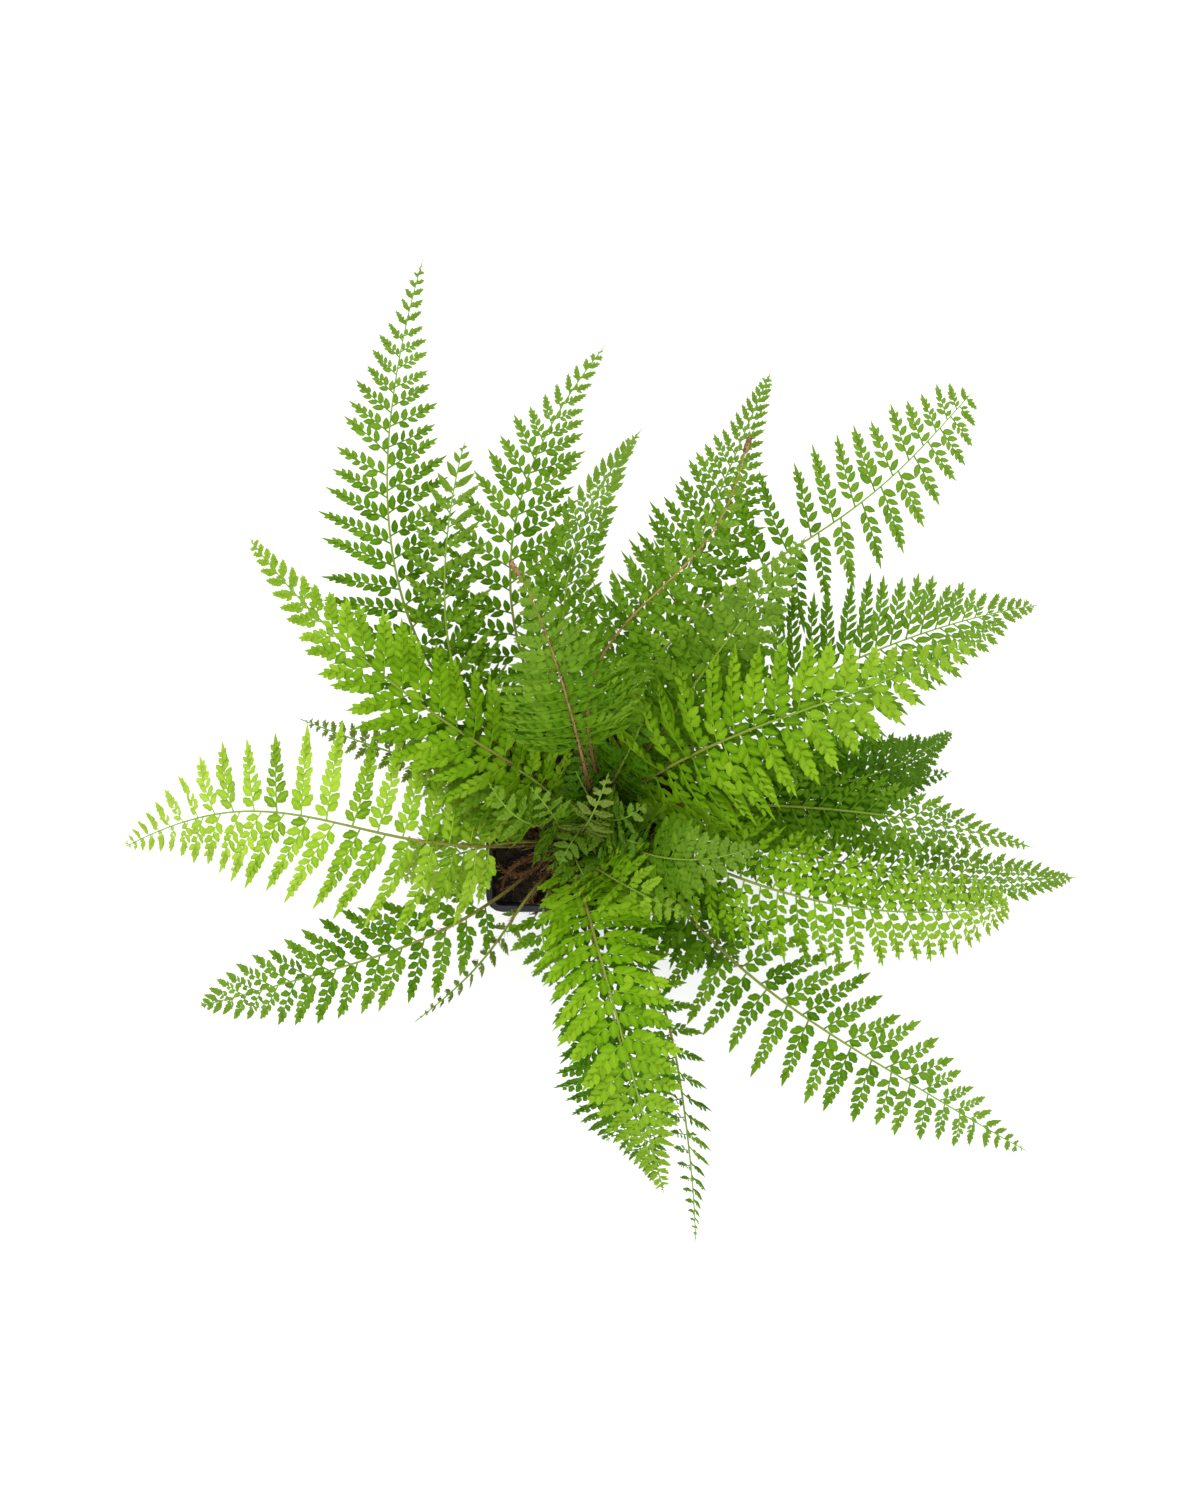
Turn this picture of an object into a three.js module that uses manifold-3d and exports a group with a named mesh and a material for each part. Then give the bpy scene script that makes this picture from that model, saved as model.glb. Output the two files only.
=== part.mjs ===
// A soft shield fern in a square nursery pot: the pot, its peat, the scaly rootstock and each frond.
// Millimetres, +Z up. The origin is the middle of the pot's flat base.
import * as THREE from "three";
import { mergeVertices } from "three/addons/utils/BufferGeometryUtils.js";
import Module from "manifold-3d";

const wasm = await Module();
wasm.setup();

// Pot: a 9 cm square nursery pot, tapered, with a thick rim and drain holes
const POT_TOP = 90;
const POT_FOOT = 64;
const POT_HEIGHT = 100;
const POT_WALL = 1.4;
const RIM_BAND = 9;
const RIM_STEP = 1.2;
const FLOOR_THICK = 2;
const CORNER_TOP = 7;
const CORNER_FOOT = 6;
const CORNER_SEGMENTS = 4;
const DRAIN_RADIUS = 4;
const DRAIN_SIDES = 10;
const DRAIN_OFFSET = 19;

// Peat and rootstock
const CLEARANCE = 0.3;
const PEAT_TOP = 92;
const PEAT_RELIEF = 1;
const PEAT_CELLS = 9;
const CROWN_TOP = 97;
const CROWN_FOOT = 80;
const CROWN_RADIUS = 16.5;
const CROWN_SIDES = 12;
const CROWN_CENTRES = [[4, 0], [-10, -17]];

// Fronds: stalk and blade sections, and how leaflets change along a frond
const SOCKET_Z = 87;
const STALK_WIDTH = 2.2;
const STALK_THICK = 2;
const BLADE_THICK = 0.7;
const TIP_WIDTH = 0.9;
const CURVE_SAMPLES = 160;
const STALK_STEP = 12;
const HOLE_LENGTH = 32;
const SPACING_FALL = 0.3;
const ROOT_ANGLE = 72;
const TIP_ANGLE = 44;
const ANGLE_WOBBLE = 4;
const LENGTH_WOBBLE = 0.08;
const SHOULDER_AT = 0.42;
const SHOULDER_WIDTH = 0.44;
const CURL_RADIUS = 3.4;
const CURL_TURNS = 1.1;
const CURL_STEPS = 9;
const CURL_THICK = 1.2;

// Leaflets that would run into something are bent about the midrib, or stay shorter
const BENDS = [0, 8, -8, 16, -16, 24, -24, 32, -32, 40, -40];
const REACHES = [1, 0.75, 0.5, 0.3];

// Each frond: its tone of green; seen from above, where it stands, where its midrib passes half-way and where
// it ends; how far it climbs and hangs; its longest leaflet, the pairs of leaflets, and the share of its
// length that is bare stalk; and what is unlike the rest: sway of the midrib to its left and then its right,
// roll in degrees about the midrib, lift and sag of the leaflets, splay (degrees that they lean back), skew
// (degrees that the right ones lean back and the left ones forward), taper of their lengths towards the tip,
// and a curled tip
const FRONDS = {
  frond_01: ["mature", [-3, 8], [-77, 86], [-69, 231], 80, 18, 32, 23, 0.16,
    { roll: 8, splay: -4, taper: 1.35 }],
  frond_02: ["mature", [0, 6], [-57, 63], [-51, 153], 85, 8, 29, 18, 0.13,
    { sway: 3, splay: -8, taper: 0.8 }],
  frond_03: ["mature", [1, 10], [-33, 100], [7, 193], 75, 5, 36, 22, 0.16, { splay: -12, taper: 1.45 }],
  frond_04: ["mature", [4, 7], [-10, 87], [22, 156], 100, 5, 21, 19, 0.14, { splay: -20, taper: 0.9 }],
  frond_05: ["mature", [7, 12], [38, 93], [76, 184], 62, 2, 34, 22, 0.14, { splay: -7, taper: 1.5 }],
  frond_06: ["young", [6, 3], [21, 81], [60, 140], 175, 0, 26, 16, 0.24, { curled: true, sway: 11 }],
  frond_07: ["mature", [9, 8], [68, 98], [157, 172], 95, 5, 33, 20, 0.12,
    { sway: 10, splay: 32, skew: 20, taper: 0.5 }],
  frond_08: ["mature", [13, 5], [102, 59], [186, 85], 85, 10, 41, 21, 0.14, { taper: 1.2 }],
  frond_09: ["young", [9, 2], [77, 38], [156, 69], 140, 25, 37, 16, 0.12,
    { sway: 2, splay: 10, skew: 10, taper: 1.5 }],
  frond_10: ["shaded", [17, 3], [102, 10], [155, 34], 48, 15, 26, 17, 0.16, {}],
  frond_11: ["shaded", [18, -1], [90, 4], [156, 16], 38, 18, 22, 16, 0.2, {}],
  frond_12: ["mature", [14, 0], [104, 0], [186, -16], 68, 10, 25, 20, 0.14, { splay: -12 }],
  frond_13: ["mature", [16, -4], [100, -21], [208, -29], 55, 20, 24, 22, 0.18,
    { sway: 3, splay: -10, taper: 0.8 }],
  frond_14: ["young", [10, -3], [91, -36], [176, -39], 105, 45, 29, 20, 0.1,
    { splay: 10, sag: 0.6, taper: 0.5 }],
  frond_15: ["mature", [12, -8], [96, -91], [189, -148], 60, 40, 33, 21, 0.12,
    { sway: -3, splay: 5, skew: 8 }],
  frond_16: ["young", [-8, -20], [11, -82], [31, -160], 130, 70, 34, 21, 0.1, { splay: -5 }],
  frond_17: ["shaded", [-8, -26], [11, -91], [28, -163], 60, 50, 30, 19, 0.14, { splay: -8 }],
  frond_18: ["ageing", [-3, -28], [35, -98], [47, -195], 52, 82, 16, 18, 0.2, { sway: 2, roll: 50 }],
  frond_19: ["ageing", [-16, -27], [-37, -53], [-77, -94], 30, 30, 10, 12, 0.2, { sway: -2, roll: 60 }],
  frond_20: ["mature", [-20, -23], [-89, -62], [-170, -86], 48, 38, 25, 18, 0.14,
    { sway: 2, splay: -14, taper: 0.8 }],
  frond_21: ["young", [-16, -16], [-105, -5], [-201, -17], 90, 70, 41, 19, 0.11,
    { sway: 7, splay: 14, skew: 8, taper: 1.4 }],
  frond_22: ["ageing", [-9, 3], [-69, 19], [-127, 39], 28, 20, 10, 13, 0.3, {}],
  frond_23: ["young", [-3, 3], [-81, 53], [-142, 114], 110, 45, 35, 21, 0.07, { splay: -16, taper: 1.65 }],
  frond_24: ["young", [1, 2], [-12, 57], [-27, 92], 195, 0, 33, 12, 0.42, { curled: true, taper: 1.4 }],
  frond_25: ["ageing", [-6, -12], [1, -2], [8, 16], 70, 5, 13, 9, 0.3, {}],
  frond_26: ["mature", [14, 10], [45, 55], [88, 112], 115, 10, 30, 16, 0.2, {}],
  frond_27: ["mature", [-7, 0], [-46, 17], [-82, 38], 60, 20, 28, 13, 0.15, {}],
  frond_28: ["young", [-4, -22], [16, -32], [40, -44], 70, 12, 22, 11, 0.18, {}],
  frond_29: ["shaded", [6, -7], [14, -12], [24, -15], 58, 8, 17, 9, 0.2, {}],
  frond_30: ["mature", [-12, -11], [-16, -1], [-25, 10], 72, 6, 18, 9, 0.22, {}],
  frond_31: ["shaded", [7, 6], [17, 26], [27, 48], 75, 6, 20, 10, 0.2, {}],
  frond_32: ["mature", [-14, -6], [-28, -4], [-42, 12], 80, 10, 18, 10, 0.2, {}],
  frond_33: ["mature", [4, -3], [13, -4], [24, 3], 60, 6, 17, 9, 0.2, {}],
  frond_34: ["mature", [-11, -24], [-20, -48], [-12, -78], 55, 25, 18, 11, 0.2, {}],
  frond_35: ["mature", [6, -12], [37, -20], [70, -14], 86, 12, 24, 12, 0.18, {}],
};
const USUAL = { sway: 0, roll: 0, lift: 0.16, sag: 0.3, splay: 0, skew: 0, taper: 1.2, curled: false };

// Materials
const materials = {
  pot: new THREE.MeshStandardMaterial({ color: 0x14171a, roughness: 0.45, metalness: 0 }),
  peat: new THREE.MeshStandardMaterial({ color: 0x2c1c12, roughness: 0.95, metalness: 0 }),
  rootstock: new THREE.MeshStandardMaterial({ color: 0x5c3a20, roughness: 0.9, metalness: 0 }),
  young: new THREE.MeshStandardMaterial({ color: 0x86b52c, roughness: 0.5, metalness: 0 }),
  mature: new THREE.MeshStandardMaterial({ color: 0x5f9223, roughness: 0.45, metalness: 0 }),
  shaded: new THREE.MeshStandardMaterial({ color: 0x3f6f18, roughness: 0.45, metalness: 0 }),
  ageing: new THREE.MeshStandardMaterial({ color: 0x737f3a, roughness: 0.6, metalness: 0 }),
};

const part = new THREE.Group();

function addPiece(name, geometry, material) {
  const mesh = new THREE.Mesh(geometry, material);
  mesh.name = name;
  part.add(mesh);
}

// Solids for cutting and joining
function solidOf(geometry) {
  const plain = geometry.clone();
  plain.deleteAttribute("normal");
  plain.deleteAttribute("uv");
  const merged = mergeVertices(plain, 1e-3);
  const triVerts = new Uint32Array(merged.index.array);
  const vertProperties = merged.attributes.position.array;
  return new wasm.Manifold(new wasm.Mesh({ numProp: 3, vertProperties, triVerts }));
}

function geometryOf(solid) {
  const mesh = solid.getMesh();
  const geometry = new THREE.BufferGeometry();
  geometry.setAttribute("position", new THREE.BufferAttribute(mesh.vertProperties, 3));
  geometry.setIndex(new THREE.BufferAttribute(mesh.triVerts, 1));
  return geometry;
}

// A square with round corners at one height, as a ring of points
function squareRing(width, corner, z) {
  const ring = [];
  const inset = width / 2 - corner;
  for (let quarter = 0; quarter < 4; quarter++) {
    const middle = (quarter + 0.5) * (Math.PI / 2);
    const cx = Math.sign(Math.cos(middle)) * inset;
    const cy = Math.sign(Math.sin(middle)) * inset;
    for (let step = 0; step <= CORNER_SEGMENTS; step++) {
      const angle = (quarter + step / CORNER_SEGMENTS) * (Math.PI / 2);
      ring.push([cx + corner * Math.cos(angle), cy + corner * Math.sin(angle), z]);
    }
  }
  return ring;
}

// Joins rings of equal length, from the first to the last, and closes both ends
function loftRings(rings) {
  const count = rings[0].length;
  const positions = rings.flat(2);
  const index = [];
  for (let r = 0; r + 1 < rings.length; r++) {
    for (let i = 0; i < count; i++) {
      const j = (i + 1) % count;
      const [a, b, c, d] = [r * count + i, r * count + j, (r + 1) * count + j, (r + 1) * count + i];
      index.push(a, b, c, a, c, d);
    }
  }
  const last = (rings.length - 1) * count;
  for (let i = 1; i + 1 < count; i++) {
    index.push(0, i + 1, i);
    index.push(last, last + i, last + i + 1);
  }
  const geometry = new THREE.BufferGeometry();
  geometry.setAttribute("position", new THREE.Float32BufferAttribute(positions, 3));
  geometry.setIndex(index);
  return geometry;
}

// Width and corner of the pot's outside at a height, below the rim
function potAt(z) {
  const share = z / POT_HEIGHT;
  const width = POT_FOOT + (POT_TOP - 2 * RIM_STEP - POT_FOOT) * share;
  return { width, corner: CORNER_FOOT + (CORNER_TOP - RIM_STEP - CORNER_FOOT) * share };
}

function innerRing(z, gap = 0) {
  const { width, corner } = potAt(z);
  const inset = POT_WALL + gap;
  return squareRing(width - 2 * inset, corner - inset, z);
}

function outerRing(z) {
  const { width, corner } = potAt(z);
  return squareRing(width, corner, z);
}

function makePot() {
  const rimFoot = POT_HEIGHT - RIM_BAND;
  const outside = loftRings([
    outerRing(0),
    outerRing(rimFoot),
    squareRing(POT_TOP, CORNER_TOP, rimFoot + RIM_STEP),
    squareRing(POT_TOP, CORNER_TOP, POT_HEIGHT),
  ]);
  const inside = loftRings([innerRing(FLOOR_THICK), innerRing(POT_HEIGHT + 1)]);
  let pot = solidOf(outside).subtract(solidOf(inside));
  for (let i = 0; i < 8; i++) {
    const angle = (i * Math.PI) / 4;
    const reach = i % 2 ? DRAIN_OFFSET * Math.SQRT2 * 0.95 : DRAIN_OFFSET;
    const drain = new THREE.CylinderGeometry(DRAIN_RADIUS, DRAIN_RADIUS, 4 * FLOOR_THICK, DRAIN_SIDES);
    drain.rotateX(Math.PI / 2);
    drain.translate(reach * Math.cos(angle), reach * Math.sin(angle), 0);
    pot = pot.subtract(solidOf(drain));
  }
  return pot;
}

// The rootstock: two domes that run into each other, grown by a gap where they are cut from the peat
function crownSolid(gap = 0) {
  const profile = [
    [0, CROWN_FOOT - gap],
    [CROWN_RADIUS * 0.8 + gap, CROWN_FOOT - gap],
    [CROWN_RADIUS + gap, PEAT_TOP - 2],
    [CROWN_RADIUS * 0.82 + gap, CROWN_TOP - 3 + gap],
    [CROWN_RADIUS * 0.45 + gap, CROWN_TOP + gap],
    [0, CROWN_TOP + 0.8 + gap],
  ].map(([r, z]) => new THREE.Vector2(r, z));
  let crown = null;
  for (const [x, y] of CROWN_CENTRES) {
    const dome = new THREE.LatheGeometry(profile, CROWN_SIDES);
    dome.rotateX(Math.PI / 2);
    dome.translate(x, y, 0);
    const solid = solidOf(dome);
    crown = crown ? crown.add(solid) : solid;
  }
  return crown;
}

// The peat fills the pot, and its top is an uneven grid
function peatSolid() {
  const foot = FLOOR_THICK + CLEARANCE;
  const block = solidOf(loftRings([innerRing(foot, CLEARANCE), innerRing(POT_HEIGHT - 2, CLEARANCE)]));
  const top = new THREE.BoxGeometry(POT_TOP, POT_TOP, POT_HEIGHT, PEAT_CELLS, PEAT_CELLS, 1);
  const at = top.attributes.position;
  for (let i = 0; i < at.count; i++) {
    const [x, y] = [at.getX(i), at.getY(i)];
    const bump = Math.sin(x * 0.31 + 1) * Math.cos(y * 0.27 - 0.6) + 0.6 * Math.sin(x * 0.13 - y * 0.22);
    at.setZ(i, at.getZ(i) > 0 ? PEAT_TOP + PEAT_RELIEF * bump : -1);
  }
  return block.intersect(solidOf(top));
}

// A frond's midrib: seen from above a bend through via, and in height a steep start and a hanging end
function midrib(row) {
  const bend = [0, 1].map((k) => 2 * row.via[k] - (row.foot[k] + row.tip[k]) / 2);
  const reach = Math.hypot(row.tip[0] - row.foot[0], row.tip[1] - row.foot[1]);
  const aside = [(row.tip[1] - row.foot[1]) / reach, (row.foot[0] - row.tip[0]) / reach];
  const pointAt = (t) => {
    const [early, middle, late] = [(1 - t) ** 2, 2 * t * (1 - t), t * t];
    const sway = -row.sway * Math.sin(2 * Math.PI * t);
    const [x, y] = [0, 1].map((k) => {
      return early * row.foot[k] + middle * bend[k] + late * row.tip[k] + sway * aside[k];
    });
    const climb = row.rise * (1 - (1 - t) ** 3) - row.droop * t ** 3;
    return new THREE.Vector3(x, y, SOCKET_Z + climb);
  };
  const points = [pointAt(0)];
  const lengths = [0];
  for (let i = 1; i <= CURVE_SAMPLES; i++) {
    points.push(pointAt(i / CURVE_SAMPLES));
    lengths.push(lengths[i - 1] + points[i].distanceTo(points[i - 1]));
  }
  return { points, lengths, length: lengths[CURVE_SAMPLES], roll: THREE.MathUtils.degToRad(row.roll) };
}

// Place and axes on the midrib at a distance s from its foot: along it, to its right, and up from the blade
function frameAt(rib, s) {
  let i = 1;
  while (i < CURVE_SAMPLES && rib.lengths[i] < s) i++;
  const share = (s - rib.lengths[i - 1]) / (rib.lengths[i] - rib.lengths[i - 1]);
  const place = rib.points[i - 1].clone().lerp(rib.points[i], share);
  const along = rib.points[i].clone().sub(rib.points[i - 1]).normalize();
  const right = along.clone().cross(new THREE.Vector3(0, 0, 1)).normalize();
  right.applyAxisAngle(along, rib.roll * Math.min(1, (2 * s) / rib.length));
  const up = right.clone().cross(along).normalize();
  return { place, along, right, up };
}

// A thin blade: columns, each a point with a top and a bottom, and faces seen from the top
class Blade {
  constructor() {
    this.columns = [];
    this.triangles = [];
  }

  column(place, up, thick) {
    const half = up.clone().multiplyScalar(thick / 2);
    this.columns.push([place.clone().add(half), place.clone().sub(half)]);
    return this.columns.length - 1;
  }

  face(corners, flip = false) {
    const order = flip ? [...corners].reverse() : corners;
    for (let i = 1; i + 1 < order.length; i++) this.triangles.push([order[0], order[i], order[i + 1]]);
  }

  geometry() {
    const positions = this.columns.flat().flatMap((p) => [p.x, p.y, p.z]);
    const open = new Map();
    const index = [];
    for (const [a, b, c] of this.triangles) {
      index.push(2 * a, 2 * b, 2 * c, 2 * a + 1, 2 * c + 1, 2 * b + 1);
      for (const [from, to] of [[a, b], [b, c], [c, a]]) {
        if (!open.delete(`${to} ${from}`)) open.set(`${from} ${to}`, [from, to]);
      }
    }
    for (const [from, to] of open.values()) {
      index.push(2 * from + 1, 2 * to + 1, 2 * to, 2 * from + 1, 2 * to, 2 * from);
    }
    const geometry = new THREE.BufferGeometry();
    geometry.setAttribute("position", new THREE.Float32BufferAttribute(positions, 3));
    geometry.setIndex(index);
    return geometry;
  }
}

// The midrib's width and thickness, from the stalk to the tip
function ribWidth(share) {
  return TIP_WIDTH + (STALK_WIDTH - TIP_WIDTH) * (1 - share) ** 0.8;
}

function ribThick(share) {
  return BLADE_THICK + (STALK_THICK - BLADE_THICK) * (1 - share) ** 1.3;
}

// How long a leaflet is beside the longest, from the lowest pair (0) to the tip (1)
function leafletLength(share, taper) {
  return (0.65 + 0.35 * THREE.MathUtils.smoothstep(share, 0, 0.3)) * (1 - share ** 3) ** taper;
}

// An uneven number from -1 to 1 for each leaflet, always the same
function wobble(row, pair, side, kind) {
  const wave = Math.sin(row.number * 12.9 + pair * 78.2 + side * 37.7 + kind * 91.3) * 43758.5;
  return 2 * (wave - Math.floor(wave)) - 1;
}

// Distances along the midrib: steps up the bare stalk, then where each pair of leaflets ends
function stationsOf(rib, row) {
  const start = rib.length * row.bare;
  const reach = rib.length * 0.985 - start;
  const steps = Math.max(2, Math.round(start / STALK_STEP));
  const stalk = Array.from({ length: steps }, (_, i) => (start * i) / steps);
  const pairs = [];
  for (let i = 0; i <= row.pairs; i++) {
    const share = i / row.pairs;
    pairs.push(start + reach * (share * (1 + SPACING_FALL) - SPACING_FALL * share ** 4));
  }
  return { stalk, pairs };
}

// Two columns, left and right of the midrib at a distance s
function ribPair(blade, rib, s) {
  const { place, right, up } = frameAt(rib, s);
  const side = right.clone().multiplyScalar(ribWidth(s / rib.length) / 2);
  const thick = ribThick(s / rib.length);
  return [blade.column(place.clone().sub(side), up, thick), blade.column(place.clone().add(side), up, thick)];
}

// The rolled tip of a young frond: the midrib turns in on itself
function addCurl(blade, rib, pair) {
  const { place, along, right, up } = frameAt(rib, rib.length);
  const centre = place.clone().addScaledVector(up, CURL_RADIUS);
  let last = pair;
  for (let step = 1; step <= CURL_STEPS; step++) {
    const share = step / CURL_STEPS;
    const turn = share * CURL_TURNS * 2 * Math.PI;
    const out = up.clone().multiplyScalar(-Math.cos(turn)).addScaledVector(along, Math.sin(turn));
    const point = centre.clone().addScaledVector(out, CURL_RADIUS * (1 - 0.62 * share));
    const halfWidth = TIP_WIDTH * (1.2 - 0.5 * share);
    const inward = out.clone().negate();
    const next = [-1, 1].map((side) => {
      return blade.column(point.clone().addScaledVector(right, side * halfWidth), inward, CURL_THICK);
    });
    blade.face([last[0], last[1], next[1], next[0]]);
    last = next;
  }
}

// The whole midrib as a blade, and the pairs of columns that leaflets grow between
function ribBlade(rib, row) {
  const blade = new Blade();
  const { stalk, pairs } = stationsOf(rib, row);
  const columns = [...stalk, ...pairs].map((s) => ribPair(blade, rib, s));
  for (let i = 1; i < columns.length; i++) {
    blade.face([columns[i - 1][0], columns[i - 1][1], columns[i][1], columns[i][0]]);
  }
  const last = columns[columns.length - 1];
  if (row.curled) {
    addCurl(blade, rib, last);
  } else {
    const end = frameAt(rib, rib.length);
    blade.face([last[0], last[1], blade.column(end.place, end.up, BLADE_THICK)]);
  }
  return { blade, columns: columns.slice(stalk.length), pairs };
}

// The shoulder and point of the leaflet of a pair, for a bend in degrees and a share of its full reach
function leafletPoints(rib, row, pairs, pair, side, bend, reachShare) {
  const [from, to] = [pairs[pair], pairs[pair + 1]];
  const { place, along, right, up } = frameAt(rib, (from + to) / 2);
  const share = ((from + to) / 2 - pairs[0]) / (pairs[row.pairs] - pairs[0]);
  const lean = row.splay + side * row.skew + ANGLE_WOBBLE * wobble(row, pair, side, 1);
  const angle = THREE.MathUtils.degToRad(ROOT_ANGLE + (TIP_ANGLE - ROOT_ANGLE) * share ** 2 + lean);
  const tilt = THREE.MathUtils.degToRad(bend);
  const uneven = 1 + LENGTH_WOBBLE * wobble(row, pair, side, 2);
  const length = row.leaflet * leafletLength(share, row.taper) * uneven * reachShare;
  const [forward, outward] = [Math.cos(angle), Math.sin(angle)];
  const axis = along.clone().multiplyScalar(forward).addScaledVector(right, side * outward);
  const across = along.clone().multiplyScalar(-outward).addScaledVector(right, side * forward);
  const at = (reach, aside) => {
    const rise = row.lift * reach - (row.sag * reach * reach) / row.leaflet + reach * Math.sin(tilt);
    const point = place.clone().addScaledVector(axis, reach * Math.cos(tilt));
    return point.addScaledVector(across, aside).addScaledVector(up, rise);
  };
  const aside = (to - from) * outward * SHOULDER_WIDTH;
  return { shoulder: at(length * SHOULDER_AT, aside), point: at(length, 0), up };
}

// A leaflet between two pairs of rib columns, bent as a blade at its shoulder
function addLeaflet(blade, low, high, side, { shoulder, point, up }) {
  const bulge = blade.column(shoulder, up, BLADE_THICK);
  const tip = blade.column(point, up, BLADE_THICK);
  blade.face([bulge, tip, high, low], side < 0);
}

// Whether a solid keeps the clearance to every other
function isClear(solid, others) {
  const box = solid.boundingBox();
  return others.every((other) => {
    const apart = [0, 1, 2].some((k) => {
      return box.min[k] > other.box.max[k] + CLEARANCE || other.box.min[k] > box.max[k] + CLEARANCE;
    });
    return apart || solid.minGap(other.solid, CLEARANCE * 2) >= CLEARANCE;
  });
}

function obstacle(solid) {
  return { solid, box: solid.boundingBox() };
}

// The leaflet alone, for the test of its clearance
function leafletSolid(rib, from, to, side, points) {
  const blade = new Blade();
  const pick = side > 0 ? 1 : 0;
  const low = ribPair(blade, rib, from)[pick];
  const high = ribPair(blade, rib, to)[pick];
  addLeaflet(blade, low, high, side, points);
  const used = new Blade();
  const order = [low, high, blade.columns.length - 2, blade.columns.length - 1];
  used.columns = order.map((k) => blade.columns[k]);
  used.triangles = blade.triangles.map((corners) => corners.map((k) => order.indexOf(k)));
  return solidOf(used.geometry());
}

// A frond whose leaflets keep clear of the others: the first bend and reach that fits is taken
function frondGeometry(rib, row, others) {
  const { blade, columns, pairs } = ribBlade(rib, row);
  for (let i = 0; i < row.pairs; i++) {
    for (const side of [-1, 1]) {
      const pick = side > 0 ? 1 : 0;
      const tries = REACHES.flatMap((reach) => BENDS.map((bend) => [bend, reach]));
      for (const [bend, reach] of tries) {
        const points = leafletPoints(rib, row, pairs, i, side, bend, reach);
        if (!isClear(leafletSolid(rib, pairs[i], pairs[i + 1], side, points), others)) continue;
        addLeaflet(blade, columns[i][pick], columns[i + 1][pick], side, points);
        break;
      }
    }
  }
  return blade.geometry();
}

// A frond's foot grown by the clearance, which makes its plain hole in the rootstock and the peat
function footSolid(rib, row) {
  const rings = [];
  const { stalk, pairs } = stationsOf(rib, row);
  for (const s of [...stalk, ...pairs].filter((at) => at < HOLE_LENGTH)) {
    const { place, along, right, up } = frameAt(rib, s);
    const start = place.clone().addScaledVector(along, s === 0 ? -CLEARANCE : 0);
    const halfWidth = ribWidth(s / rib.length) / 2 + CLEARANCE;
    const halfThick = ribThick(s / rib.length) / 2 + CLEARANCE;
    const corners = [[-1, -1], [-1, 1], [1, 1], [1, -1]];
    rings.push(corners.map(([x, y]) => {
      return start.clone().addScaledVector(right, x * halfWidth).addScaledVector(up, y * halfThick).toArray();
    }));
  }
  return solidOf(loftRings(rings));
}

const rows = Object.entries(FRONDS).map(([name, values]) => {
  const [tone, foot, via, tip, rise, droop, leaflet, pairs, bare, unlike] = values;
  const number = Number(name.slice(-2));
  return { ...USUAL, name, number, tone, foot, via, tip, rise, droop, leaflet, pairs, bare, ...unlike };
});
const ribs = new Map(rows.map((row) => [row, midrib(row)]));

const pot = makePot();
let peat = peatSolid().subtract(crownSolid(CLEARANCE));
let rootstock = crownSolid();
for (const row of rows) {
  const hole = footSolid(ribs.get(row), row);
  peat = peat.subtract(hole);
  rootstock = rootstock.subtract(hole);
}
addPiece("pot", geometryOf(pot), materials.pot);
addPiece("peat", geometryOf(peat), materials.peat);
addPiece("rootstock", geometryOf(rootstock), materials.rootstock);

// The highest fronds grow first, and the leaflets of the rest give way to them and to every midrib
const ground = [pot, peatSolid(), crownSolid()].map(obstacle);
const ribSolid = (row) => solidOf(ribBlade(ribs.get(row), row).blade.geometry());
const stalks = new Map(rows.map((row) => [row, obstacle(ribSolid(row))]));
const grown = [];
for (const row of [...rows].sort((a, b) => b.rise - a.rise)) {
  stalks.delete(row);
  const geometry = frondGeometry(ribs.get(row), row, [...ground, ...grown, ...stalks.values()]);
  grown.push(obstacle(solidOf(geometry)));
  addPiece(row.name, geometry, materials[row.tone]);
}

export default part;
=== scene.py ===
"""The looks of a potted soft shield fern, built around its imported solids. Metres, +Z up.

The shapes are worked out in millimetres, as in the part's own source, and turned into metres as each piece
is made. Every frond is one piece, which keeps the midrib and leaflets of its solid and divides them further.
"""
import math

import bpy
import numpy as np
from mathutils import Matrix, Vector
from mathutils.kdtree import KDTree


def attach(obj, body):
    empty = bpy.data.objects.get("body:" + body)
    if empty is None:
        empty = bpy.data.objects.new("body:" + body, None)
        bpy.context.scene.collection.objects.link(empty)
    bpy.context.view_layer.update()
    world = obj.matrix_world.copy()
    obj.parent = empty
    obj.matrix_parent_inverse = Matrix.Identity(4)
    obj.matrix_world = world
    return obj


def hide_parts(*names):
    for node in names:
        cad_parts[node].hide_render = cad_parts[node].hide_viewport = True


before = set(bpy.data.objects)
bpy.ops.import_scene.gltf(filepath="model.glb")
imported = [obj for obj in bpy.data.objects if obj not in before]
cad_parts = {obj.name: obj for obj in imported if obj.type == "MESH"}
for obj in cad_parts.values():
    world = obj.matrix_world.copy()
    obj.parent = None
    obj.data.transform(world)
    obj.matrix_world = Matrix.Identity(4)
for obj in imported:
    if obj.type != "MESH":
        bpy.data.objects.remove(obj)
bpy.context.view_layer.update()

MM = 0.001
UP = np.array([0.0, 0.0, 1.0])

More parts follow.
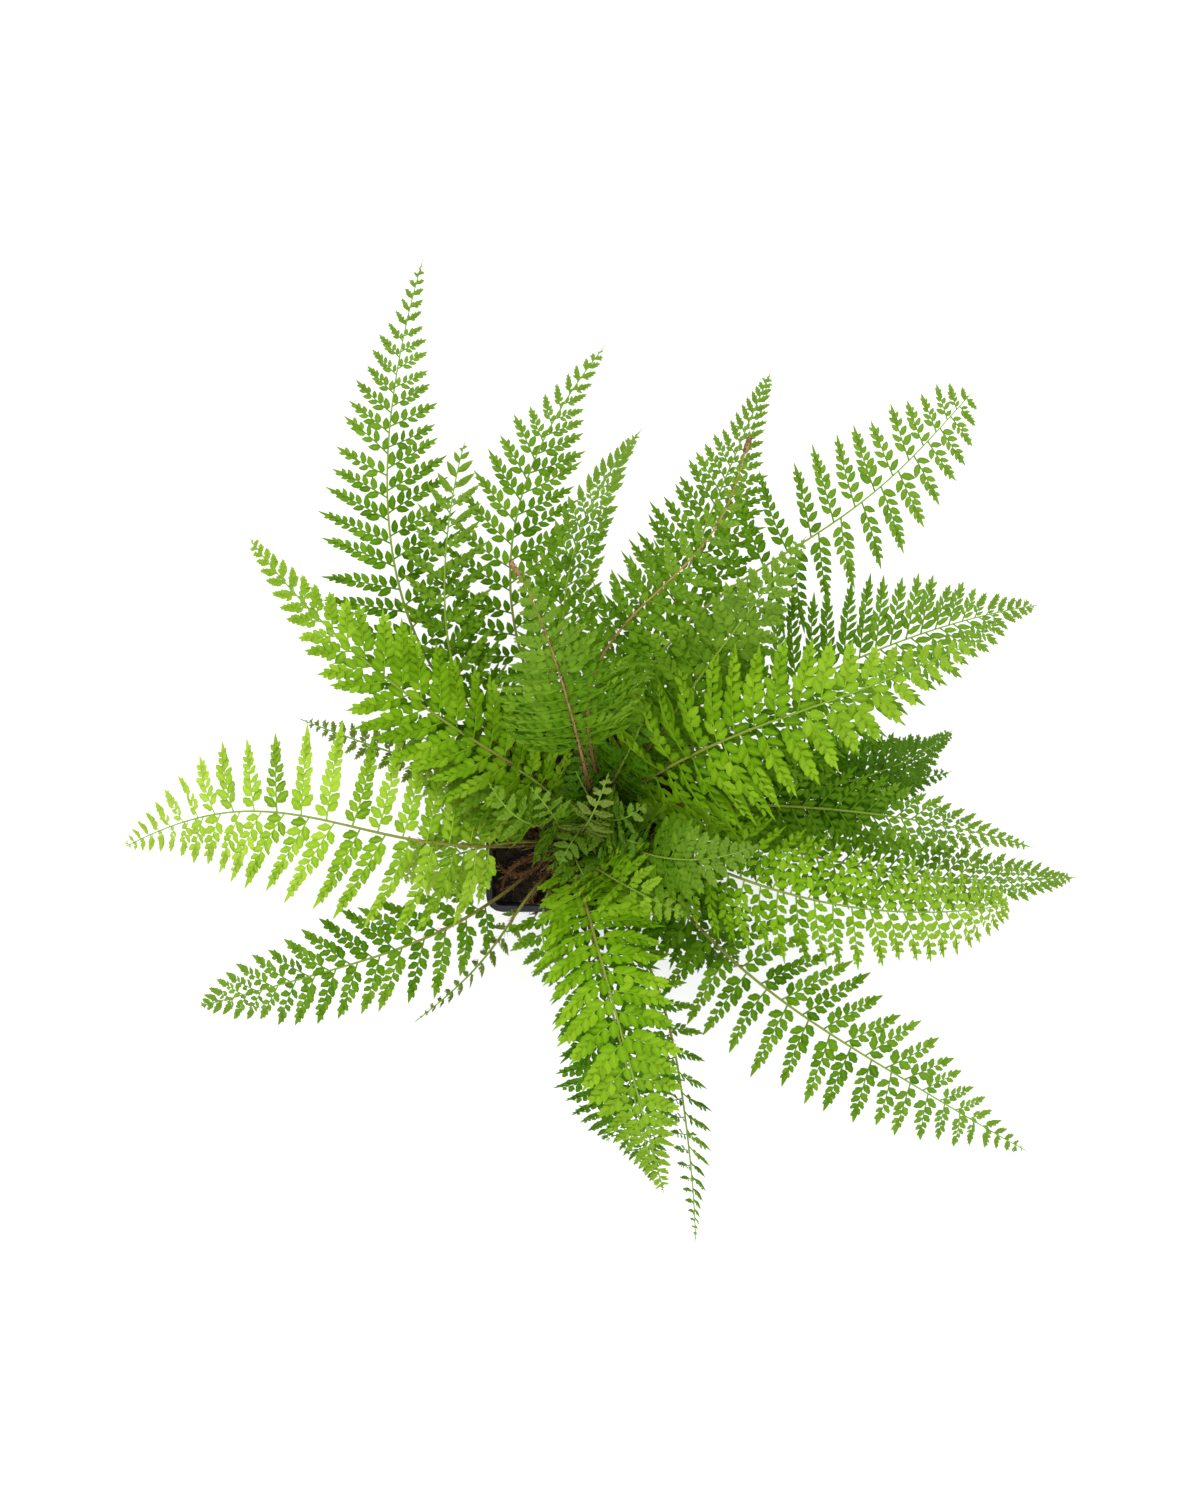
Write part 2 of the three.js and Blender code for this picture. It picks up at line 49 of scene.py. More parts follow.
# The fronds of the solids. Foot, via and tip are where a frond stands, where its midrib passes half-way and
# where it ends, seen from above. Rise is how far it climbs, droop how far its tip then hangs, leaflet the
# length of its longest leaflet, and bare the share of its own length that is bare stalk. After these columns
# a row holds what is unlike the usual frond.
COLUMNS = "tone", "foot", "via", "tip", "rise", "droop", "leaflet", "pairs", "bare"
FRONDS = {
    "frond_01": ["mature", (-3, 8), (-77, 86), (-69, 231), 80, 18, 32, 23, 0.16,
                 {"roll": 8, "splay": -4, "taper": 1.35}],
    "frond_02": ["mature", (0, 6), (-57, 63), (-51, 153), 85, 8, 29, 18, 0.13,
                 {"sway": 3, "splay": -8, "taper": 0.8}],
    "frond_03": ["mature", (1, 10), (-33, 100), (7, 193), 75, 5, 36, 22, 0.16,
                 {"splay": -12, "taper": 1.45}],
    "frond_04": ["mature", (4, 7), (-10, 87), (22, 156), 100, 5, 21, 19, 0.14,
                 {"splay": -20, "taper": 0.9}],
    "frond_05": ["mature", (7, 12), (38, 93), (76, 184), 62, 2, 34, 22, 0.14, {"splay": -7, "taper": 1.5}],
    "frond_06": ["young", (6, 3), (21, 81), (60, 140), 175, 0, 26, 16, 0.24, {"curled": True, "sway": 11}],
    "frond_07": ["mature", (9, 8), (68, 98), (157, 172), 95, 5, 33, 20, 0.12,
                 {"sway": 10, "splay": 32, "skew": 20, "taper": 0.5}],
    "frond_08": ["mature", (13, 5), (102, 59), (186, 85), 85, 10, 41, 21, 0.14, {"taper": 1.2}],
    "frond_09": ["young", (9, 2), (77, 38), (156, 69), 140, 25, 37, 16, 0.12,
                 {"sway": 2, "splay": 10, "skew": 10, "taper": 1.5}],
    "frond_10": ["shaded", (17, 3), (102, 10), (155, 34), 48, 15, 26, 17, 0.16, {}],
    "frond_11": ["shaded", (18, -1), (90, 4), (156, 16), 38, 18, 22, 16, 0.2, {}],
    "frond_12": ["mature", (14, 0), (104, 0), (186, -16), 68, 10, 25, 20, 0.14, {"splay": -12}],
    "frond_13": ["mature", (16, -4), (100, -21), (208, -29), 55, 20, 24, 22, 0.18,
                 {"sway": 3, "splay": -10, "taper": 0.8}],
    "frond_14": ["young", (10, -3), (91, -36), (176, -39), 105, 45, 29, 20, 0.1,
                 {"splay": 10, "sag": 0.6, "taper": 0.5}],
    "frond_15": ["mature", (12, -8), (96, -91), (189, -148), 60, 40, 33, 21, 0.12,
                 {"sway": -3, "splay": 5, "skew": 8}],
    "frond_16": ["young", (-8, -20), (11, -82), (31, -160), 130, 70, 34, 21, 0.1, {"splay": -5}],
    "frond_17": ["shaded", (-8, -26), (11, -91), (28, -163), 60, 50, 30, 19, 0.14, {"splay": -8}],
    "frond_18": ["ageing", (-3, -28), (35, -98), (47, -195), 52, 82, 16, 18, 0.2, {"sway": 2, "roll": 50}],
    "frond_19": ["ageing", (-16, -27), (-37, -53), (-77, -94), 30, 30, 10, 12, 0.2,
                 {"sway": -2, "roll": 60}],
    "frond_20": ["mature", (-20, -23), (-89, -62), (-170, -86), 48, 38, 25, 18, 0.14,
                 {"sway": 2, "splay": -14, "taper": 0.8}],
    "frond_21": ["young", (-16, -16), (-105, -5), (-201, -17), 90, 70, 41, 19, 0.11,
                 {"sway": 7, "splay": 14, "skew": 8, "taper": 1.4}],
    "frond_22": ["ageing", (-9, 3), (-69, 19), (-127, 39), 28, 20, 10, 13, 0.3, {}],
    "frond_23": ["young", (-3, 3), (-81, 53), (-142, 114), 110, 45, 35, 21, 0.07,
                 {"splay": -16, "taper": 1.65}],
    "frond_24": ["young", (1, 2), (-12, 57), (-27, 92), 195, 0, 33, 12, 0.42,
                 {"curled": True, "taper": 1.4}],
    "frond_25": ["ageing", (-6, -12), (1, -2), (8, 16), 70, 5, 13, 9, 0.3, {}],
    "frond_26": ["mature", (14, 10), (45, 55), (88, 112), 115, 10, 30, 16, 0.2, {}],
    "frond_27": ["mature", (-7, 0), (-46, 17), (-82, 38), 60, 20, 28, 13, 0.15, {}],
    "frond_28": ["young", (-4, -22), (16, -32), (40, -44), 70, 12, 22, 11, 0.18, {}],
    "frond_29": ["shaded", (6, -7), (14, -12), (24, -15), 58, 8, 17, 9, 0.2, {}],
    "frond_30": ["mature", (-12, -11), (-16, -1), (-25, 10), 72, 6, 18, 9, 0.22, {}],
    "frond_31": ["shaded", (7, 6), (17, 26), (27, 48), 75, 6, 20, 10, 0.2, {}],
    "frond_32": ["mature", (-14, -6), (-28, -4), (-42, 12), 80, 10, 18, 10, 0.2, {}],
    "frond_33": ["mature", (4, -3), (13, -4), (24, 3), 60, 6, 17, 9, 0.2, {}],
    "frond_34": ["mature", (-11, -24), (-20, -48), (-12, -78), 55, 25, 18, 11, 0.2, {}],
    "frond_35": ["mature", (6, -12), (37, -20), (70, -14), 86, 12, 24, 12, 0.18, {}],
}
# The midrib sways to its left and then its right, and the blade rolls about it. The leaflets lift and sag,
# splay and skew their angles, and taper in length towards the tip, which may be curled.
USUAL = {"sway": 0, "roll": 0, "lift": 0.16, "sag": 0.3, "splay": 0, "skew": 0, "taper": 1.2,
         "curled": False}

# The solids' rules for a frond, in millimetres, degrees and shares
SOCKET_Z = 87
CURVE_SAMPLES = 160
STALK_WIDTH = 2.2
TIP_WIDTH = 0.9
BLADE_THICK = 0.7
BLADE_END = 0.985
SPACING_FALL = 0.3
ROOT_ANGLE = 72
TIP_ANGLE = 44
ANGLE_WOBBLE = 4
ROOT_LENGTH = 0.65
FULL_LENGTH_AT = 0.3
LENGTH_WOBBLE = 0.08
LEAFLET_BOW = 0.22
CURL_RADIUS = 3.4
CURL_TURNS = 1.1
CROWN_CENTRES = [(4, 0), (-10, -17)]
CROWN_RADIUS = 16.5

# A leaflet of the solids that would meet another frond has one of these bends and reaches. It is known by a
# corner of the solid this near to its point.
BENDS = [0, 8, -8, 16, -16, 24, -24, 32, -32, 40, -40]
REACHES = [1, 0.75, 0.5, 0.3]
NEAR_ENOUGH = 0.05

# Small fronds round the crowns that the solids leave out, in the same columns
SMALL_FRONDS = {
    "small_frond_1": ["mature", (-8, -13), (-5, -24), (4, -38), 34, 4, 15, 9, 0.2, {}],
    "small_frond_2": ["mature", (3, -3), (-5, -10), (-13, -24), 38, 4, 15, 9, 0.2, {}],
    "small_frond_3": ["mature", (0, 3), (5, -8), (12, -22), 36, 4, 16, 9, 0.2, {}],
    "small_frond_4": ["shaded", (4, -3), (-2, 8), (-9, 22), 34, 4, 16, 9, 0.2, {}],
    "small_frond_5": ["shaded", (9, 0), (15, 12), (22, 27), 32, 4, 17, 9, 0.2, {}],
    "small_frond_6": ["shaded", (8, 5), (4, 18), (-1, 34), 36, 4, 17, 9, 0.2, {}],
    "small_frond_7": ["mature", (-12, -12), (-10, -2), (-17, 10), 30, 4, 14, 9, 0.2, {}],
    "small_frond_8": ["mature", (-4, -20), (8, -26), (22, -27), 30, 6, 15, 9, 0.2, {}],
    "small_frond_9": ["young", (-12, -8), (-38, 6), (-76, 10), 46, 6, 26, 12, 0.25, {}],
    "small_frond_10": ["young", (-8, -4), (-26, 14), (-54, 28), 50, 4, 20, 10, 0.2, {}],
    "small_frond_11": ["mature", (4, -14), (22, -28), (48, -46), 38, 6, 20, 10, 0.2, {}],
    "small_frond_12": ["young", (-16, -16), (-44, -16), (-82, -30), 40, 8, 26, 12, 0.3, {}],
    "small_frond_13": ["shaded", (8, -14), (34, -38), (64, -68), 34, 20, 27, 12, 0.25, {}],
    "small_frond_14": ["shaded", (-6, -26), (2, -84), (8, -148), 40, 50, 22, 10, 0.5, {}],
}

# How a frond is divided. The plant has more leaflets than its solids, which are held to a number of faces:
# more is how many times the solid's pairs there are, and longer how many times as long they are. Lobe is the
# lobes' length and width their width as a share of it, front and back are how far they lean from the
# leaflet's rib, shape is their outline, and step how far apart they stand. End is the share of a leaflet
# that is one blade, and end_width the blade's width.
USUAL_DIVISION = {"more": 1.4, "longer": 1.05, "lobe": 5.9, "width": 0.54, "front": 58, "back": 42,
                  "shape": "blunt", "end": 0.45, "end_width": 2.1, "step": 1.0}
SMALL_DIVISION = {**USUAL_DIVISION, "more": 1.1, "lobe": 6.2, "width": 0.62, "shape": "toothed", "end": 0.8,
                  "end_width": 3.0}
DIVISION = {
    "frond_01": {"more": 1.22, "longer": 1.18, "lobe": 6.0, "shape": "pointed"},
    "frond_02": {"more": 1.0, "lobe": 4.6, "width": 0.6, "front": 50, "end": 0.88, "end_width": 3.0},
    "frond_03": {"more": 1.0, "longer": 1.1, "shape": "pointed"},
    "frond_04": {"more": 1.45, "longer": 1.2, "lobe": 5.8, "front": 52, "end_width": 2.6},
    "frond_05": {"lobe": 5.6, "shape": "pointed"},
    "frond_06": {"lobe": 5.8, "width": 0.62, "shape": "toothed", "end": 0.6, "end_width": 2.8},
    "frond_07": {"more": 1.1, "longer": 1.15, "lobe": 5.8, "front": 60, "shape": "pointed"},
    "frond_08": {"longer": 1.1, "lobe": 7.0, "width": 0.4, "front": 42, "back": 32, "shape": "pointed",
                 "end": 0.35, "end_width": 2.2},
    "frond_09": {"more": 1.35, "longer": 1.2, "lobe": 7.2, "width": 0.6, "front": 62, "shape": "toothed",
                 "end": 0.7, "end_width": 4.2, "step": 1.1},
    "frond_10": {"more": 1.8, "longer": 1.15, "lobe": 7.0, "width": 0.64},
    "frond_14": {"shape": "toothed", "step": 1.15},
    "frond_15": {"more": 1.1, "longer": 1.1, "lobe": 6.2, "width": 0.58, "back": 54, "shape": "toothed",
                 "end": 0.3, "end_width": 2.6},
    "frond_16": {"more": 1.14, "longer": 0.95, "lobe": 7.0, "width": 0.64, "shape": "toothed", "end": 0.6,
                 "end_width": 3.2},
    "frond_18": {"more": 1.1, "longer": 1.1, "lobe": 5.6, "width": 0.52, "end": 0.6, "end_width": 2.4},
    "frond_19": {"more": 1.2, "lobe": 5.4, "width": 0.54, "end": 0.7, "end_width": 2.4},
    "frond_20": {"more": 1.0, "longer": 1.2, "lobe": 5.8, "width": 0.6, "shape": "toothed", "end": 0.4,
                 "end_width": 3.0},
    "frond_21": {"more": 1.18, "longer": 1.15, "lobe": 6.4, "width": 0.58, "front": 54, "back": 44,
                 "shape": "toothed", "end_width": 3.2},
    "frond_22": {"longer": 1.3, "lobe": 6.4, "width": 0.56, "shape": "toothed"},
    "frond_23": {"more": 1.14, "lobe": 7.0, "width": 0.62, "front": 54, "shape": "toothed", "end": 0.65,
                 "end_width": 3.4},
    "frond_24": {"lobe": 6.6, "width": 0.66, "shape": "toothed", "end": 0.6, "end_width": 3.2},
    "frond_26": {"lobe": 7.0, "width": 0.64, "shape": "toothed", "end": 0.6, "end_width": 3.2},
    "frond_35": {"lobe": 7.0, "width": 0.64, "shape": "toothed", "end_width": 3.0},
}

# Fronds that are divided as small ones
SMALL_NAMES = {"frond_25", *(f"frond_{number}" for number in range(27, 35)), *SMALL_FRONDS}

# Fronds whose look isn't the tone that their slot is named for. The pale look is the young green made paler:
# painted light, for fronds lit from below through their leaves
LOOKS = {"frond_06": "mature", "frond_18": "mature", "frond_21": "pale", "frond_24": "mature",
         "small_frond_9": "pale", "small_frond_12": "pale"}

# The part of the peat that no leaflet covers, from its left front corner to its right back one
OPEN_PEAT = (-42, -44), (-26, -17)

# The midrib: its width as a share of the solids', and how much less at the tip; how flat it is; the width of
# its point; and a curl's widths at its start and end, with how far it tightens
RIB_POINTS = 70
RIB_SHARE = 0.78
RIB_SHARE_FALL = 0.3
RIB_FLATNESS = 0.92
RIB_POINT_WIDTH = 0.12
CURL_POINTS = 26
CURL_WIDTHS = 1.5, 1.0
CURL_TIGHTENS = 0.62

# Leaflets along a frond: how much closer they stand at its tip, how slowly they shorten there, how far one
# side's stand ahead of the other's, and their least and greatest bow, where that of the solids is 1
PAIR_FALL = 0.22
TIP_TAPER = 0.65
SIDE_STEP = 0.16
BOWS = -0.3, 0.5

# A leaflet: how thick its lobes are, how far it rolls, how wide its rib is and how far that runs, and the
# size of its lobes and rib, which is full on a long leaflet only
LEAF_THICK = 0.24
ROLL_SPREAD = 5
LEAF_RIB_WIDTHS = 0.75, 0.3
RIB_END = 0.8
LEAST_SIZE = 0.36
SIZE_LENGTHS = 4, 27

# Its lobes: where they start, and the share of its length where they end; the step between them, and how much
# closer they stand at its point; how many steps the back ones stand ahead; and their size at its root, with
# how much of it is lost at its point
LOBE_START = 2.4
LOBES_END = 0.86
LOBE_STEP = 4.3
STEP_FALL = 0.34
BACK_STEP = 0.42
ROOT_SIZE = 1.04
SIZE_FALL = 0.74

# The lobes' angles: how far they lean from its rib at its point, and how far they dip and fold
TIP_LEAN = 27
LEAN_SPREAD = 4
DIP = -4
FOLD = 9
TILT_SPREAD = 8

# The blade at its end: a leaflet shorter than the first length is nearly all blade, and at the second length
# the blade has its usual share
ALL_BLADE = 0.97
BLADE_LENGTHS = 6, 16
WIDEST_BLADE = 0.44

# Papery scales: how many there are, with their shortest and longest lengths; where on a stalk they start, how
# much further than its bare part they go, and the share of its width at which they are rooted
SCALES = {
    "stalk": (90, (1.6, 3.2)),
    "curled stalk": (420, (1.2, 2.4)),
    "curl": (260, (0.9, 2.0)),
    "crown": (900, (3, 7)),
    "stub": (110, (1.8, 3.6)),
}
SCALES_START = 4
SCALES_PAST_BARE = 0.25
SCALE_ROOT = 0.4

# The stubs of old stalks on the second crown, the crumbs, and the lowest ground that scales and crumbs have
STUBS = 8
STUB_POINTS = 16
STUB_ANGLES = 135, 265
STUB_REACH = 17, 27
STUB_HOOK = 1.6
STUB_RADIUS = 11
STUB_Z = 90
STUB_WIDTHS = 2.5, 1.2
CRUMBS = 1500
CRUMB_SIZE = 0.5, 1.9
PEAT_HALF = 42
LOWEST_SCALE = 88
LOWEST_CRUMB = 85

SEED = 11

# The places of the materials on a piece
LEAF, STALK, SCALE = 0, 1, 2


def unit(v):
    """Vectors of length 1, along the last axis."""
    return v / np.maximum(np.linalg.norm(v, axis=-1, keepdims=True), 1e-12)


def turned(v, axis, angle):
    """Vectors turned about unit axes that they are square to, by angles in radians."""
    angle = np.asarray(angle)[..., None]
    return v * np.cos(angle) + np.cross(axis, v) * np.sin(angle)


def smoothstep(x, low, high):
    """From 0 at low to 1 at high, with a level start and end."""
    t = np.clip((x - low) / (high - low), 0, 1)
    return t * t * (3 - 2 * t)


class Soup:
    """Collects many small closed shapes, which then become one mesh."""

    def __init__(self):
        self.points, self.rims, self.tints = [], [], []
        self.faces, self.sizes, self.slots = [], [], []
        self.count = 0

    def add(self, shapes, parts, slot, tints, rim=None):
        """k copies of a shape as points (k, n, 3); parts are arrays of its faces; tints are (k, n, 3)."""
        k, n = shapes.shape[:2]
        starts = self.count + np.arange(k)[:, None, None] * n
        for part in parts:
            self.faces.append((part[None] + starts).ravel())
            self.sizes.append(np.full(k * len(part), part.shape[1]))
            self.slots.append(np.full(k * len(part), slot))
        self.points.append(shapes.reshape(-1, 3))
        self.tints.append(np.broadcast_to(tints, (k, n, 3)).reshape(-1, 3))
        self.rims.append(np.zeros(k * n, bool) if rim is None else np.tile(rim, k))
        self.count += k * n

    def add_either_way(self, shapes, parts, slot, tints, ahead, rim=None):
        """As add, with the faces turned over where ahead is false."""
        self.add(shapes[ahead], parts, slot, tints[ahead], rim)
        self.add(shapes[~ahead], [part[:, ::-1] for part in parts], slot, tints[~ahead], rim)

    def mesh(self, name):
        """One mesh in metres, with sharp rims and the shades in an attribute named tint."""
        points = np.concatenate(self.points) * MM
        corners = np.concatenate(self.faces)
        sizes = np.concatenate(self.sizes)
        mesh = bpy.data.meshes.new(name)
        mesh.vertices.add(len(points))
        mesh.vertices.foreach_set("co", points.astype(np.float32).ravel())
        mesh.loops.add(len(corners))
        mesh.loops.foreach_set("vertex_index", corners.astype(np.int32))
        mesh.polygons.add(len(sizes))
        starts = np.concatenate([[0], np.cumsum(sizes)[:-1]])
        mesh.polygons.foreach_set("loop_start", starts.astype(np.int32))
        mesh.polygons.foreach_set("material_index", np.concatenate(self.slots).astype(np.int32))
        mesh.update(calc_edges=True)
        ends = np.zeros(len(mesh.edges) * 2, np.int32)
        mesh.edges.foreach_get("vertices", ends)
        rims = np.concatenate(self.rims)
        sharp = rims[ends.reshape(-1, 2)].all(axis=1)
        mesh.attributes.new("sharp_edge", "BOOLEAN", "EDGE").data.foreach_set("value", sharp)
        tint = mesh.color_attributes.new("tint", "FLOAT_COLOR", "POINT")
        colours = np.ones((len(points), 4), np.float32)
        colours[:, :3] = np.concatenate(self.tints)
        tint.data.foreach_set("color", colours.ravel())
        mesh.validate()
        return mesh


def add_piece(name, soup, materials, slot, *nodes):
    """One object from a soup, which rides on the root body and stands for the solids that are named."""
    mesh = soup.mesh(name)
    for material in materials:
        mesh.materials.append(material)
    piece = bpy.data.objects.new(name, mesh)
    bpy.context.scene.collection.objects.link(piece)
    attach(piece, "root")
    if nodes:
        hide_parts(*nodes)
    return piece


def tube_faces(rings, sides):
    """Faces of a tube of rings with a point at each end, after the rings' own points."""
    faces = []
    for r in range(rings - 1):
        for i in range(sides):
            j = (i + 1) % sides
            faces.append((r * sides + i, r * sides + j, (r + 1) * sides + j, (r + 1) * sides + i))
    start, end = rings * sides, rings * sides + 1
    last = (rings - 1) * sides
    caps = [(start, (i + 1) % sides, i) for i in range(sides)]
    caps += [(end, last + i, last + (i + 1) % sides) for i in range(sides)]
    return [np.array(faces), np.array(caps)]


def add_tube(soup, places, rights, ups, widths, thicks, tints, sides=8, slot=STALK):
    """A tube with an oval section, along places with their own axes, closed at both ends."""
    turns = np.arange(sides) * 2 * math.pi / sides
    side = rights[:, None] * (np.cos(turns)[None, :, None] * widths[:, None, None] / 2)
    rise = ups[:, None] * (np.sin(turns)[None, :, None] * thicks[:, None, None] / 2)
    rings = (places[:, None] + side + rise).reshape(-1, 3)
    points = np.concatenate([rings, places[[0, -1]]])
    shades = np.concatenate([np.repeat(tints, sides, axis=0), tints[[0, -1]]])
    ahead = np.dot(np.cross(rights[0], ups[0]), places[1] - places[0]) > 0
    soup.add_either_way(points[None], tube_faces(len(places), sides), slot, shades[None], np.array([ahead]))


# Leaf shapes are half outlines, as points (along, aside) from root to tip, for a leaf one unit wide. The
# front side of a lobe, towards the leaflet's point, has an ear near its root.
BLUNT_FRONT = [(0.02, 0.1), (0.26, 0.44), (0.52, 0.6), (0.76, 0.32)]
BLUNT_BACK = [(0.02, 0.08), (0.3, 0.3), (0.58, 0.46), (0.82, 0.22)]
POINTED_FRONT = [(0.02, 0.14), (0.18, 0.5), (0.5, 0.54), (0.8, 0.34)]
POINTED_BACK = [(0.02, 0.1), (0.26, 0.34), (0.56, 0.44), (0.84, 0.2)]
TOOTHED_FRONT = [(0.02, 0.14), (0.24, 0.5), (0.46, 0.6), (0.56, 0.44), (0.78, 0.4)]
TOOTHED_BACK = [(0.02, 0.1), (0.3, 0.36), (0.56, 0.5), (0.64, 0.36), (0.84, 0.26)]
BLADE_HALF = [(0.01, 0.1), (0.12, 0.28), (0.28, 0.46), (0.46, 0.5), (0.68, 0.36), (0.88, 0.16)]


def leaf_template(left, right):
    """A thin closed leaf between two half outlines: points (along, aside, top, bottom), faces and rim."""
    rows = len(left)
    rim_left = [(u, v, 0, 0) for u, v in left]
    rim_right = [(u, -v, 0, 0) for u, v in right]
    middle = [(a[0] + b[0]) / 2 for a, b in zip(left, right)]
    top = [(u, 0, 1, 0) for u in middle]
    bottom = [(u, 0, 0, 1) for u in middle]
    points = np.array(rim_left + rim_right + top + bottom + [(0, 0, 0, 0), (1, 0, 0, 0)], float)
    quads = []
    for k in range(rows - 1):
        a, b, c, d = k, rows + k, 2 * rows + k, 3 * rows + k
        quads += [(c, c + 1, a + 1, a), (b, b + 1, c + 1, c), (a, a + 1, d + 1, d), (d, d + 1, b + 1, b)]
    root, tip, last = 4 * rows, 4 * rows + 1, rows - 1
    ends = [(root, 2 * rows, 0), (root, rows, 2 * rows), (root, 0, 3 * rows), (root, 3 * rows, rows)]
    ends += [(tip, last, 2 * rows + last), (tip, 2 * rows + last, rows + last)]
    ends += [(tip, 3 * rows + last, last), (tip, rows + last, 3 * rows + last)]
    rim = (points[:, 2] + points[:, 3]) == 0
    return points, [np.array(quads), np.array(ends)], rim


LOBES = {
    "blunt": leaf_template(BLUNT_FRONT, BLUNT_BACK),
    "pointed": leaf_template(POINTED_FRONT, POINTED_BACK),
    "toothed": leaf_template(TOOTHED_FRONT, TOOTHED_BACK),
}
BLADE = leaf_template(BLADE_HALF, BLADE_HALF)


def add_leaves(soup, template, places, along, normal, mirror, length, width, cup, droop, tints):
    """Copies of a leaf. mirror is 1 where its front side lies left of along and -1 where it lies right."""
    points, parts, rim = template
    side = unit(np.cross(normal, along))
    u, v = points[:, 0], points[:, 1]
    x = length[:, None] * u
    y = length[:, None] * width[:, None] * v * mirror[:, None]
    z = (points[:, 2] - points[:, 3]) * LEAF_THICK / 2
    z = z - length[:, None] * (cup[:, None] * (2 * v) ** 2 + droop[:, None] * u ** 2)
    shapes = (places[:, None] + x[..., None] * along[:, None] + y[..., None] * side[:, None]
              + z[..., None] * normal[:, None])
    shades = np.repeat(tints[:, None], len(points), axis=1)
    shades[:, :, 2] = np.where(rim, 0.0, 1.0)
    soup.add_either_way(shapes, parts, LEAF, shades, mirror > 0, rim)


def rib_width(share):
    """Width of the solids' midrib at a share of its length."""
    return TIP_WIDTH + (STALK_WIDTH - TIP_WIDTH) * (1 - share) ** 0.8


class Rib:
    """A frond's midrib, as in the solids."""

    def __init__(self, row):
        foot, via, tip = (np.array(row[k], float) for k in ("foot", "via", "tip"))
        bend = 2 * via - (foot + tip) / 2
        aside = np.array([tip[1] - foot[1], foot[0] - tip[0]]) / np.linalg.norm(tip - foot)
        t = np.linspace(0, 1, CURVE_SAMPLES + 1)[:, None]
        flat = (1 - t) ** 2 * foot + 2 * t * (1 - t) * bend + t * t * tip
        flat = flat - row["sway"] * np.sin(2 * math.pi * t) * aside
        height = SOCKET_Z + row["rise"] * (1 - (1 - t) ** 3) - row["droop"] * t ** 3
        self.points = np.hstack([flat, height])
        steps = np.linalg.norm(np.diff(self.points, axis=0), axis=1)
        self.lengths = np.concatenate([[0], np.cumsum(steps)])
        self.length = self.lengths[-1]
        self.roll = math.radians(row["roll"])

    def frames(self, s):
        """Places and axes at distances s from the foot: along the midrib, to its right and up from it."""
        i = np.clip(np.searchsorted(self.lengths, s), 1, CURVE_SAMPLES)
        share = ((s - self.lengths[i - 1]) / (self.lengths[i] - self.lengths[i - 1]))[:, None]
        place = self.points[i - 1] * (1 - share) + self.points[i] * share
        along = unit(self.points[i] - self.points[i - 1])
        right = unit(np.cross(along, UP))
        right = turned(right, along, self.roll * np.minimum(1, 2 * s / self.length))
        return place, along, right, unit(np.cross(right, along))

    def stations(self, row):
        """Distances along the midrib where each pair of leaflets ends and the next begins."""
        start = self.length * row["bare"]
        reach = self.length * BLADE_END - start
        share = np.arange(row["pairs"] + 1) / row["pairs"]
        return start + reach * (share * (1 + SPACING_FALL) - SPACING_FALL * share ** 4)


def leaflet_length(share, taper):
    """Length of a leaflet at a share of the blade, as a share of the longest one's."""
    growth = ROOT_LENGTH + (1 - ROOT_LENGTH) * smoothstep(share, 0, FULL_LENGTH_AT)
    return growth * (1 - share ** 3) ** taper


def wobble(number, pair, side, kind):
    """The solids' own seeded draw for a leaflet, from -1 to 1."""
    wave = math.sin(number * 12.9 + pair * 78.2 + side * 37.7 + kind * 91.3) * 43758.5
    return 2 * (wave - math.floor(wave)) - 1


class Leaflet:
    """Where a leaflet starts, how it points and how long it is, by the solids' rules."""

    def __init__(self, row, axes, share, spacing, side, wobbles):
        self.place, self.along, right, self.up = axes
        self.row, self.share = row, share
        lean = row["splay"] + side * row["skew"] + ANGLE_WOBBLE * wobbles[0]
        angle = math.radians(ROOT_ANGLE + (TIP_ANGLE - ROOT_ANGLE) * share ** 2 + lean)
        usual = row["leaflet"] * leaflet_length(share, row["taper"])
        self.length = usual * (1 + LENGTH_WOBBLE * wobbles[1])
        self.axis = self.along * math.cos(angle) + right * side * math.sin(angle)
        self.across = -self.along * math.sin(angle) + right * side * math.cos(angle)
        self.bow = LEAFLET_BOW * spacing * math.sin(angle)

    def line(self, bend, reach_share, t, bow=1.0):
        """Points along its own rib at shares t of its length."""
        tilt = math.radians(bend)
        reach = (self.length * reach_share * t)[:, None]
        rise = self.row["lift"] * reach - self.row["sag"] * reach ** 2 / self.row["leaflet"]
        aside = bow * self.bow * 4 * (t * (1 - t))[:, None]
        return (self.place + self.axis * reach * math.cos(tilt) + self.across * aside
                + self.up * (rise + reach * math.sin(tilt)))

    def fitted(self, tree):
        """The bend and reach of the solid's leaflet, found by its point, or None where it is missing."""
        best = None
        for reach in REACHES:
            for bend in BENDS:
                tip = self.line(bend, reach, np.array([1.0]))[0]
                distance = tree.find(tip + self.up * BLADE_THICK / 2)[2]
                if distance < NEAR_ENOUGH and (best is None or distance < best[0]):
                    best = (distance, bend, reach)
        return best and best[1:]


def solid_leaflets(name, row, rib):
    """The shares of the blade at which the solid has leaflets, and each side's bends and reaches."""
    tree = solid_tree(name)
    ends = rib.stations(row)
    middles = (ends[1:] + ends[:-1]) / 2
    shares = (middles - ends[0]) / (ends[-1] - ends[0])
    found = {-1: [], 1: []}
    for pair, axes in enumerate(zip(*rib.frames(middles))):
        for side in (-1, 1):
            wobbles = [wobble(row["number"], pair, side, kind) for kind in (1, 2)]
            leaf = Leaflet(row, axes, shares[pair], ends[pair + 1] - ends[pair], side, wobbles)
            found[side].append(leaf.fitted(tree))
    return shares, found


